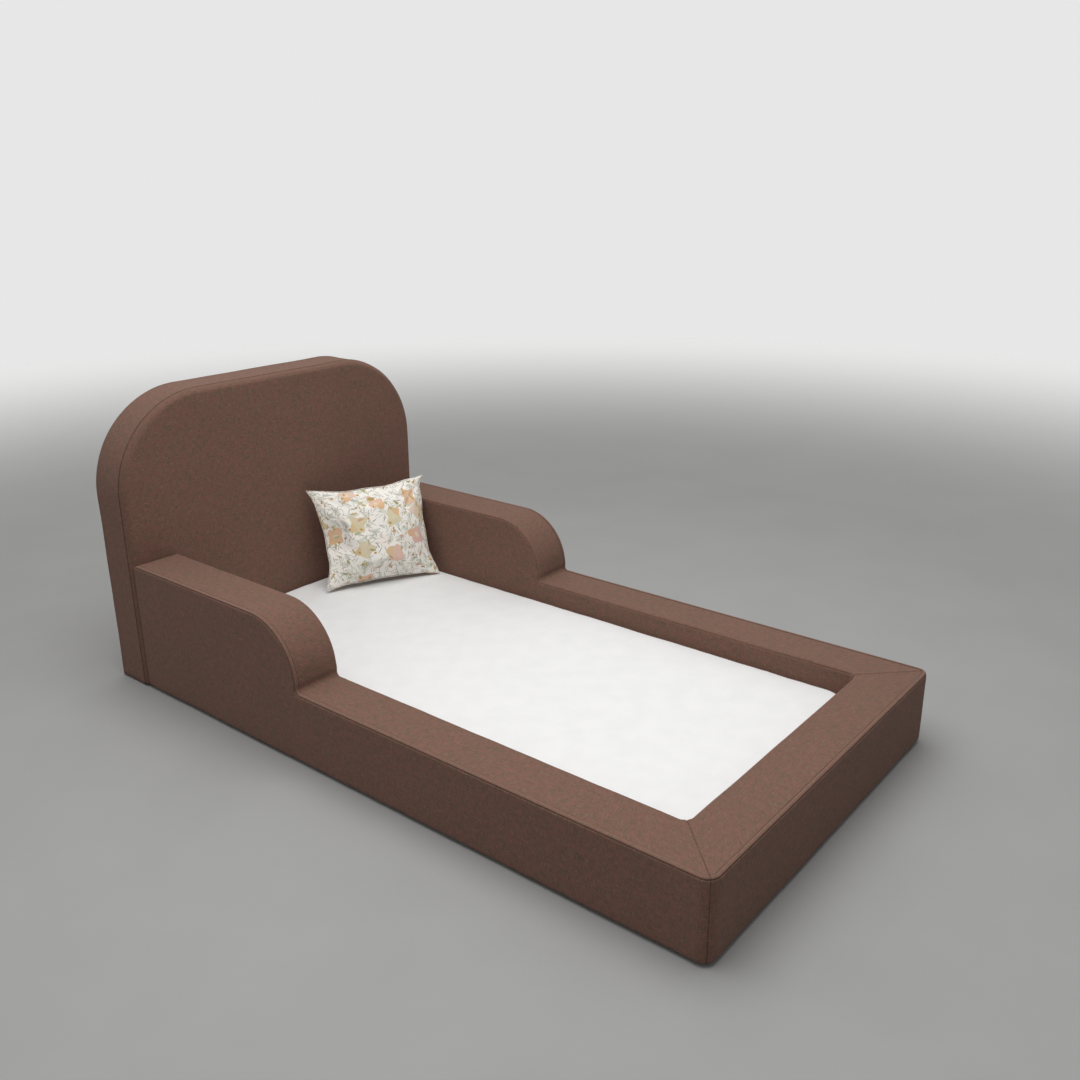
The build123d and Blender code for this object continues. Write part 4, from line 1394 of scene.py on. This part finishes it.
# %% Print motifs
class Motifs:
    """One scatter of motifs over the cloth: coordinates in each cell, and three random numbers per cell."""

    def __init__(self, paint, cloth, spacing, jitter=0.9, offset=(0.0, 0.0, 0.0)):
        where = paint.vector("ADD", cloth, offset)
        cell = paint.node("ShaderNodeTexVoronoi", {"voronoi_dimensions": "2D"}, Vector=where,
                          Scale=1 / spacing, Randomness=jitter)
        self.first = paint.node("ShaderNodeSeparateColor", {}, cell.output("Color"))
        self.second, self.third = self.first.output(1), self.first.output(2)
        local = paint.vector("SUBTRACT", where, cell.output("Position"))
        turned = paint.node("ShaderNodeVectorRotate", {"rotation_type": "Z_AXIS"}, Vector=local,
                            Angle=self.first * (2 * pi))
        self.x = paint.parts(turned)
        self.y = self.x.output(1)

    def leaf(self, length, width):
        """1 inside a pointed oval."""
        share = self.x / length
        return self.y.size() < (1 - share * share) * width

    def oval(self, length, width):
        return ((self.x / length) ** 2.0 + (self.y / width) ** 2.0) < 1.0


# %% [markdown]
# The print is built up as a printer would, from the pale ground to the darkest ink. The cloth's map is
# swayed a little first, so that no motif has a ruler's edge, and each layer is mixed over the ones before
# it.

# %% Inks
ground_inks = (0.94, 0.91, 0.84), (0.93, 0.89, 0.83)
blob_inks = [(0.0, (0.70, 0.40, 0.16)), (0.3, (0.76, 0.46, 0.36)), (0.55, (0.62, 0.58, 0.30)),
             (0.8, (0.78, 0.58, 0.44)), (1.0, (0.68, 0.34, 0.28))]
leaf_inks = [(0.0, (0.30, 0.32, 0.12)), (0.4, (0.60, 0.34, 0.08)), (0.7, (0.46, 0.46, 0.24)),
             (1.0, (0.64, 0.28, 0.20))]


def swayed(paint, plain, amount=0.022):
    """The cloth's map with a slow drift, as a hand-drawn line has."""
    sway = paint.noise(plain, 24.0, 1.0)
    other = paint.noise(paint.vector("ADD", plain, (3.0, 5.0, 0.0)), 24.0, 1.0)
    shift = paint.node("ShaderNodeCombineXYZ", {}, (sway - 0.5) * amount, (other - 0.5) * amount, 0.0)
    return paint.vector("ADD", plain, shift)


def ground(paint, plain):
    """Cream cotton with washes of blush and sage."""
    colour = paint.mix(paint.noise(plain, 30.0).between(0.35, 0.65), *ground_inks)
    blush = paint.noise(plain, 11.0, 1.0).between(0.52, 0.68)
    colour = paint.mix(blush * 0.28, colour, (0.92, 0.72, 0.64))
    sage = paint.noise(paint.vector("ADD", plain, (9.0, 2.0, 0.0)), 13.0, 1.0).between(0.54, 0.70)
    return paint.mix(sage * 0.25, colour, (0.70, 0.75, 0.62))


print(len(blob_inks), "blob inks and", len(leaf_inks), "leaf inks")


# %% Layers of the print
def print_blobs(paint, cloth, colour):
    """Big pale blobs, each with a side lobe and sometimes a heart. Also returns where the ground is open."""
    blobs = Motifs(paint, cloth, 0.112, 0.70)
    inks = paint.node("ShaderNodeValToRGB", {"stops": blob_inks}, blobs.second)
    body = blobs.oval(0.043, 0.021).most(blobs.oval(0.021, 0.035)) * (blobs.third > 0.25)
    colour = paint.mix(body * 0.80, colour, inks)
    side_lobe = paint.mix(blobs.third, (0.66, 0.58, 0.30), (0.74, 0.44, 0.20))
    colour = paint.mix((blobs.x > 0.014) * body * 0.7, colour, side_lobe)
    heart = blobs.oval(0.012, 0.007) * (blobs.third > 0.5)
    return paint.mix(heart * 0.8, colour, (0.80, 0.70, 0.52)), 1 - body * 0.85


def print_strokes(paint, cloth, colour, open_ground):
    """Short brush strokes in two sizes."""
    for spacing, long, wide, offset in ((0.0180, 0.0140, 0.00120, 0.4), (0.0230, 0.0180, 0.00140, 2.9)):
        strokes = Motifs(paint, cloth, spacing, 1.0, (offset, 0.1, 0.0))
        inked = strokes.leaf(long, wide) * (strokes.third > 0.30)
        dark = paint.mix(strokes.second, (0.13, 0.15, 0.11), (0.46, 0.47, 0.37))
        colour = paint.mix(inked * open_ground * 0.78, colour, dark)
    return colour


def print_fronds(paint, cloth, colour, open_ground):
    """Fern leaves: a stem with slanting blades."""
    fronds = Motifs(paint, cloth, 0.044, 0.9, (1.3, 0.7, 0.0))
    blades = (fronds.x * (2 * pi / 0.0050) + fronds.y.size() * (2 * pi / 0.0056)).wave() > 0.25
    frond = (fronds.leaf(0.024, 0.0100) * blades).most(fronds.leaf(0.026, 0.0009)) * (fronds.third > 0.2)
    green = paint.mix(fronds.second, (0.19, 0.22, 0.15), (0.50, 0.52, 0.40))
    return paint.mix(frond * open_ground * 0.7, colour, green)


def print_leaves_and_buds(paint, cloth, colour):
    """Single leaves, and round buds with a dark eye."""
    leaves = Motifs(paint, cloth, 0.042, 1.0, (2.1, 3.3, 0.0))
    leaf_ink = paint.node("ShaderNodeValToRGB", {"stops": leaf_inks}, leaves.second)
    colour = paint.mix(leaves.leaf(0.0125, 0.0050) * (leaves.third > 0.5) * 0.9, colour, leaf_ink)
    buds = Motifs(paint, cloth, 0.060, 1.0, (5.1, 1.3, 0.0))
    petals = (buds.x * buds.x + buds.y * buds.y) ** 0.5
    shown = buds.third > 0.35
    colour = paint.mix((petals < 0.0052) * shown * 0.9, colour, (0.62, 0.36, 0.10))
    return paint.mix((petals < 0.0019) * shown * 0.9, colour, (0.12, 0.08, 0.05))


# %% The printed cotton
def make_print():
    paint = Paint("cushion_print")
    plain = paint.at("cloth")
    cloth = swayed(paint, plain)
    colour, open_ground = print_blobs(paint, cloth, ground(paint, plain))
    colour = print_strokes(paint, cloth, colour, open_ground)
    colour = print_fronds(paint, cloth, colour, open_ground)
    colour = print_leaves_and_buds(paint, cloth, colour)
    threads = weave_height(paint, plain, 0.0011)
    puckers = paint.noise(plain, 70.0, 3.0)
    return paint.finish(threads * 0.15 + puckers * 1.2, 0.35, 0.0014, Base_Color=colour,
                        Roughness=puckers * 0.1 + 0.82, Sheen_Weight=0.1)


cushion_print = make_print()
print("print", len(cushion_print.node_tree.nodes), "nodes")

# %% [markdown]
# ## Bed linen and what is under it
# The sheet is a dense white cotton, matt and faintly uneven. The ticking is an unbleached quilted cotton
# with a fine stripe, and the elastic and the cushion's inner bag are ribbed. Foam shows its open cells up
# close. Plain colours would be enough from across the room, but the hidden layers are meant to be looked at
# too.


# %% Soft finishes
def make_cotton():
    paint = Paint("sheet_cotton")
    cloth = paint.at("cloth")
    soft = paint.noise(cloth, 14.0, 3.0)
    warp = paint.noise(paint.stretch(cloth, 1.0, 0.12), 700.0, 2.0)
    fine = warp + paint.noise(paint.stretch(cloth, 0.12, 1.0), 700.0, 2.0)
    colour = paint.mix(soft.between(0.3, 0.7), (0.765, 0.765, 0.76), (0.795, 0.793, 0.785))
    colour = paint.mix(fine.between(0.9, 1.2) * 0.10, colour, (0.72, 0.72, 0.72))
    height = fine * 0.25 + soft * 2.0 + weave_height(paint, cloth, 0.0009) * 0.08
    return paint.finish(height, 0.22, 0.0015, Base_Color=colour, Roughness=fine * 0.04 + 0.80,
                        Sheen_Weight=0.08)


def make_ticking():
    paint = Paint("ticking")
    cloth = paint.at("cloth")
    stripe = (paint.parts(cloth) * (2 * pi / 0.022)).wave() > 0.80
    fine = paint.noise(cloth, 600.0, 2.0)
    colour = paint.mix(stripe * 0.5, (0.66, 0.63, 0.56), (0.40, 0.44, 0.50))
    colour = paint.mix(fine.between(0.45, 0.7) * 0.25, colour, (0.52, 0.49, 0.43))
    return paint.finish(fine + weave_height(paint, cloth, 0.0014) * 0.3, 0.3, 0.001, Base_Color=colour,
                        Roughness=fine * 0.1 + 0.82)


def make_ribbed(name, light, dark, pitch):
    """Knitted or woven ribs: elastic, and the bag of the cushion's insert."""
    paint = Paint(name)
    cloth = paint.at("cloth")
    rib = (paint.parts(cloth) * (2 * pi / pitch)).wave()
    fine = paint.noise(cloth, 500.0, 2.0)
    colour = paint.mix(rib.between(-0.2, 0.8) * 0.5 + fine * 0.3, dark, light)
    return paint.finish(rib * 0.4 + fine, 0.4, 0.0008, Base_Color=colour, Roughness=fine * 0.1 + 0.8)


def make_foam(name, light, dark):
    """Open-cell foam: pale cells with darker pores, a little yellowed."""
    paint = Paint(name)
    where = paint.at("object")
    pores = paint.node("ShaderNodeTexVoronoi", {"feature": "F1"}, Vector=where, Scale=620.0)
    open_cells = pores.between(0.25, 0.6)
    age = paint.noise(where, 9.0, 2.0).between(0.35, 0.65)
    colour = paint.mix(open_cells * 0.45 + age * 0.3, light, dark)
    return paint.finish(open_cells * -1.0, 0.45, 0.0012, Base_Color=colour, Roughness=age * 0.06 + 0.90)


cotton = make_cotton()
ticking_cloth = make_ticking()
elastic_knit = make_ribbed("elastic_knit", (0.78, 0.77, 0.74), (0.56, 0.55, 0.52), 0.0016)
insert_cloth = make_ribbed("insert_cloth", (0.80, 0.79, 0.76), (0.68, 0.67, 0.64), 0.0022)
upholstery_foam = make_foam("upholstery_foam", (0.70, 0.66, 0.50), (0.50, 0.44, 0.28))
mattress_foam = make_foam("mattress_foam_cells", (0.76, 0.75, 0.68), (0.56, 0.54, 0.44))
print("soft finishes", [m.name for m in (cotton, ticking_cloth, elastic_knit, insert_cloth, upholstery_foam)])

# %% [markdown]
# ## Dressing the bed linen
# Each piece now gets its finish, the body it moves with, and the CAD node it stands for. The mattress and
# its sheet lift out together, and the cushion with its inner bag is a body of its own.

# %% Dress the soft pieces
dress(foam_core, mattress_foam, "mattress", "mattress_foam", "mattress_core")
dress(ticking, ticking_cloth, "mattress", "ticking", "mattress_cover")
dress(thicken(fitted_sheet, 0.0005), cotton, "mattress", "sheet_cotton", "fitted_sheet")
dress(elastic, elastic_knit, "mattress", "elastic", "sheet_elastic")
dress(cushion, cushion_print, "cushion", "cushion_print", "cushion_case")
dress(cushion_welt, cushion_print, "cushion", "cushion_print")
dress(insert, insert_cloth, "cushion", "cushion_fill", "cushion_insert")
print("linen dressed")

# %% [markdown]
# ## Wood, board and hardware
# These parts keep their CAD shapes and get real finishes. Pine has long growth rings and the odd knot.
# Boards show their plies at the edges. The hidden strips are grey-brown card, the dowels are beech, the
# screws and bolts are zinc plated, and the glides are moulded plastic, scuffed where they meet the floor.
# They have no cloth map, so their patterns use object coordinates, which run in metres through the wood as
# real grain does.


# %% Hard finishes
def make_wood(name, light, dark, along, knots=0.4):
    """Straight-grained wood; along is the axis the grain follows, 0, 1 or 2."""
    paint = Paint(name)
    where = paint.at("object")

    def drawn_out(across, with_grain):
        factors = [across] * 3
        factors[along] = with_grain
        return paint.stretch(where, *factors)

    grain = drawn_out(9.0, 0.55)
    bend = paint.noise(grain, 1.4, 2.0)
    rings = paint.node("ShaderNodeTexWave", {"wave_type": "RINGS", "rings_direction": "XYZ"[along]},
                       Vector=grain, Scale=3.2, Distortion=5.0, Detail=2.0)
    fibres = paint.noise(drawn_out(540.0, 6.0), 1.0, 3.0)
    knot = paint.node("ShaderNodeTexVoronoi", {}, Vector=drawn_out(3.0, 2.0), Scale=1.6)
    colour = paint.mix(rings * 0.55 + bend * 0.25, light, dark)
    colour = paint.mix(fibres.between(0.50, 0.75) * 0.45, colour, tuple(c * 0.62 for c in dark))
    colour = paint.mix((1 - knot.between(0.03, 0.10)) * knots, colour, (0.16, 0.07, 0.03))
    return paint.finish(fibres * 0.8 + rings * 0.3, 0.25, 0.0008, Base_Color=colour,
                        Roughness=fibres * 0.15 + 0.55, Specular_IOR_Level=0.35)


def make_board(name, light, dark, ply_axis, layer):
    """Plywood or packing board: a grainy face, and thin layers where the edge cuts across them."""
    paint = Paint(name)
    where = paint.at("object")
    flakes = paint.noise(paint.stretch(where, 30.0, 8.0, 30.0), 3.0, 3.0)
    depth = paint.parts(where).output(ply_axis)
    plies = (depth * (2 * pi / layer)).wave().between(-0.3, 0.3)
    colour = paint.mix(flakes.between(0.35, 0.65), light, dark)
    colour = paint.mix(plies * 0.35, colour, tuple(c * 0.7 for c in dark))
    fibres = paint.noise(paint.stretch(where, 400.0, 40.0, 400.0), 1.0, 2.0)
    return paint.finish(fibres + flakes * 0.5, 0.25, 0.0008, Base_Color=colour,
                        Roughness=fibres * 0.12 + 0.66)


def make_card():
    paint = Paint("packing_card")
    where = paint.at("object")
    fibres = paint.noise(where, 260.0, 4.0, 0.7)
    stains = paint.noise(where, 12.0, 2.0)
    colour = paint.mix(fibres.between(0.4, 0.62), (0.34, 0.25, 0.16), (0.24, 0.17, 0.11))
    colour = paint.mix(stains.between(0.5, 0.7) * 0.25, colour, (0.18, 0.13, 0.09))
    return paint.finish(fibres, 0.3, 0.0006, Base_Color=colour, Roughness=stains * 0.08 + 0.86)


def make_zinc():
    paint = Paint("zinc_plate")
    where = paint.at("object")
    spangle = paint.node("ShaderNodeTexVoronoi", {"feature": "F1"}, Vector=where, Scale=380.0)
    marks = paint.noise(paint.stretch(where, 900.0, 900.0, 60.0), 1.0, 3.0)
    colour = paint.mix(spangle.between(0.1, 0.8), (0.62, 0.63, 0.66), (0.48, 0.49, 0.51))
    return paint.finish(marks * 0.5, 0.12, 0.0004, Base_Color=colour, Metallic=1.0,
                        Roughness=marks * 0.22 + spangle * 0.06 + 0.24)


def make_glide_plastic():
    paint = Paint("glide_plastic")
    where = paint.at("object")
    grain = paint.noise(where, 900.0, 2.0)
    height = paint.parts(where).output(2)
    scuffs = paint.noise(paint.stretch(where, 90.0, 90.0, 400.0), 2.0, 4.0).between(0.50, 0.66)
    worn = (1 - height.between(0.0, 0.0025)) * scuffs
    colour = paint.mix(worn * 0.7, (0.030, 0.030, 0.032), (0.12, 0.12, 0.12))
    return paint.finish(grain * 0.4, 0.2, 0.0003, Base_Color=colour,
                        Roughness=worn * 0.3 + grain * 0.08 + 0.40)


pine = (0.66, 0.47, 0.27), (0.50, 0.30, 0.14)
pine_across, pine_along, pine_upright = (make_wood(f"pine_{way}", *pine, axis)
                                         for axis, way in enumerate(("across", "along", "upright")))
beech = make_wood("beech", (0.60, 0.40, 0.25), (0.46, 0.28, 0.16), 1, knots=0.0)
side_board = make_board("side_board", (0.50, 0.38, 0.24), (0.38, 0.27, 0.16), 0, 0.003)
front_board = make_board("front_board", (0.52, 0.39, 0.25), (0.40, 0.28, 0.17), 1, 0.003)
card_finish, zinc, glide_plastic = make_card(), make_zinc(), make_glide_plastic()
print("hard finishes", [m.name for m in (pine_along, beech, side_board, card_finish, zinc, glide_plastic)])

# %% [markdown]
# A piece is matched to its finish by a word in its name, and the last word that fits wins, so a foot board
# can differ from a side board. A list by hand would miss a piece that is added later; here it would be
# printed as bare.

# %% Give every CAD piece its finish
finishes = {
    "foam": upholstery_foam, "rail_outer_board": side_board, "rail_inner_board": side_board,
    "card": card_finish, "foot_rail_outer_board": front_board, "foot_rail_inner_board": front_board,
    "front_panel": front_board, "back_panel": front_board, "rim": front_board, "spacers": pine_upright,
    "posts": pine_upright, "studs": pine_upright, "headboard_rails": pine_across, "dowels": beech,
    "bolts": zinc, "washers": zinc, "nuts": zinc, "screws": zinc, "glides": glide_plastic,
    "blocks": pine_upright, "side_ledgers": pine_along, "cross_ledgers": pine_across,
    "centre_beam": pine_along, "slats": pine_across,
}
bare = []
for name, piece in nodes.items():
    if piece.hide_render:
        continue
    found = [finish for key, finish in finishes.items() if key in name]
    if not found:
        bare.append(name)
        continue
    piece.data.materials.clear()
    piece.data.materials.append(found[-1])
print("without a finish:", bare)

# %% [markdown]
# ## Staples
# An upholsterer turns the hem under and staples it to the frame. A row of wire staples runs round the
# underside, each a crown lying on the cloth with two legs up in the wood. They are bars, like the stitches.

# %% Staples under the hem
wire, crown_reach, leg, bend = 0.0006, 0.0050, 0.006, 0.0003
staple_spacing = 0.045
staple_bends = ((-crown_reach, leg), (-crown_reach, bend), (-crown_reach + bend, 0), (crown_reach - bend, 0),
                (crown_reach, bend), (crown_reach, leg))
wire_section = ((-wire, 0), (wire, 0), (wire, wire), (-wire, wire))


def staple(middle, ahead):
    """Rings round one staple's wire, bend by bend."""
    side = np.cross(upward, ahead)
    rings = []
    for t, z in staple_bends:
        inner, lower = np.sign(-t) * (abs(t) == crown_reach), z == 0
        rings.append([middle + ahead * (t + h * inner) + upward * (z + h * lower) + side * w
                      for w, h in wire_section])
    return rings


def staples(name, line):
    """Flat wire staples along a line under the frame."""
    run = run_along(line)
    points, faces = [], []
    for s in np.arange(staple_spacing / 2, run[-1], staple_spacing):
        ahead = on_line(line, run, s + 0.002) - on_line(line, run, s - 0.002)
        bars(points, faces, staple(on_line(line, run, s), ahead / np.linalg.norm(ahead)))
    dress(put_in_scene(name, points, faces, smooth=False), zinc, "bed", "zinc_steel")
    print(name, len(points) // (len(staple_bends) * len(wire_section)), "staples")


inset = hem_width - 0.010
side_x, back_y = half_width - inset, head_front - 0.02
front_y = foot_face + inset
corners = np.array([(-side_x, back_y), (-side_x, front_y), (side_x, front_y), (side_x, back_y)])
steps = np.linspace(0, 3, 601)
frame_line = lift(np.column_stack([np.interp(steps, range(4), corners[:, k]) for k in (0, 1)]), hem_z - wire)
staples("hem_staples", frame_line)

# %% [markdown]
# ## Floor, light and camera
# A plain grey floor and an even pale backdrop, as in a photographer's studio. The floor is a disc that
# pales towards its rim and glows a little there, so it ends softly against the backdrop. A curved backdrop
# sheet would do the same, but it would stand in the way of a camera that looks from behind.

# %% Floor
floor_tones = (0.334, 0.334, 0.329), (0.346, 0.346, 0.341)
rim_tone, rim_glow = (0.84, 0.84, 0.83), (0.315, 0.315, 0.315)


def floor_finish(reach):
    paint = Paint("floor")
    where = paint.at("object")
    colour = paint.mix(paint.noise(where, 3.0, 3.0).between(0.3, 0.7), *floor_tones)
    far = paint.vector("LENGTH", where, out="Value")
    colour = paint.mix(far.between(2.0, reach), colour, rim_tone)
    glow = paint.mix(far.between(3.2, reach), (0.0, 0.0, 0.0), rim_glow)
    made = paint.finish(paint.noise(where, 220.0, 2.0), 0.2, 0.001, Base_Color=colour, Roughness=0.9,
                        Emission_Color=glow, Emission_Strength=1.0)
    made.cycles.emission_sampling = "NONE"
    return made


def make_floor(reach=7.5, sides=160):
    """A round studio floor."""
    turns = np.arange(sides) * 2 * pi / sides
    rim_points = [(reach * cos(a), reach * sin(a), 0) for a in turns]
    floor = put_in_scene("floor", rim_points, [range(sides)], smooth=False)
    floor.data.materials.append(floor_finish(reach))
    print("floor", round(2 * reach, 1), "m across")


make_floor()

# %% [markdown]
# One large soft disc overhead leans a little to the foot, so the tops are brightest and the long sides fall
# away. The sky fills in from all round, stronger from behind the bed than from the room before it. What the
# camera sees of it directly is even, which a Mix node with the camera's own rays as its share takes care
# of.


# %% Light
def area_light(name, place, aim, size, power):
    data = bpy.data.lights.new(name, "AREA")
    data.shape = "DISK"
    data.size = size
    data.energy = power
    light = bpy.data.objects.new(name, data)
    bpy.context.scene.collection.objects.link(light)
    light.location = place
    light.rotation_euler = (Vector(aim) - Vector(place)).to_track_quat("-Z", "Y").to_euler()


def make_sky(near, far, behind=(0.45, 0.89, 0.0)):
    """An even pale backdrop, whose light is stronger from behind the bed than from the room before it."""
    world = bpy.data.worlds.new("studio")
    bpy.context.scene.world = world
    world.use_nodes = True
    sky = Nodes(world.node_tree)
    toward = sky.vector("DOT_PRODUCT", sky.node("ShaderNodeTexCoord"), behind, out="Value")
    share = sky.node("ShaderNodeMapRange", {}, toward, -0.5, 0.6, near, far)
    seen = sky.node("ShaderNodeLightPath", out="Is Camera Ray")
    background = sky.tree.nodes["Background"]
    sky.put((1.0, 1.0, 1.0, 1.0), background.inputs["Color"])
    sky.put(sky.node("ShaderNodeMix", numbered={0: seen, 2: share, 3: far}), background.inputs["Strength"])


make_sky(0.31, 0.80)
area_light("overhead", (-0.35, -0.25, 3.2), (0, 0, 0.2), 3.2, 76)
bpy.context.scene.view_settings.view_transform = "Standard"
print("sky and", len(bpy.data.lights), "lamp")

# %% [markdown]
# The camera stands at the foot's left, at an adult's eye height, and looks down along the bed. Its place
# and its turns are written as numbers, since a camera that is aimed at a point can't hold the slight roll
# of a hand-held one.

# %% Camera
camera_place = Vector((-2.1732, -1.9445, 1.5622))
camera_yaw, camera_pitch, camera_roll = 0.88817, 0.33835, -0.00773
lens_length, sensor_width = 35.3, 36.0
level = cos(camera_pitch)
forward = Vector((sin(camera_yaw) * level, cos(camera_yaw) * level, -sin(camera_pitch)))
right = forward.cross(Vector((0, 0, 1))).normalized()
above = right.cross(forward)
tilted_right = right * cos(camera_roll) + above * sin(camera_roll)
tilted_above = above * cos(camera_roll) - right * sin(camera_roll)

data = bpy.data.cameras.new("camera")
data.lens = lens_length
data.sensor_width = sensor_width
camera = bpy.data.objects.new("camera", data)
bpy.context.scene.collection.objects.link(camera)
turned = Matrix((tilted_right, tilted_above, -forward)).transposed().to_4x4()
camera.matrix_world = Matrix.Translation(camera_place) @ turned
bpy.context.scene.camera = camera
print("camera", round(camera_place.z, 2), "m up, lens", lens_length, "mm")
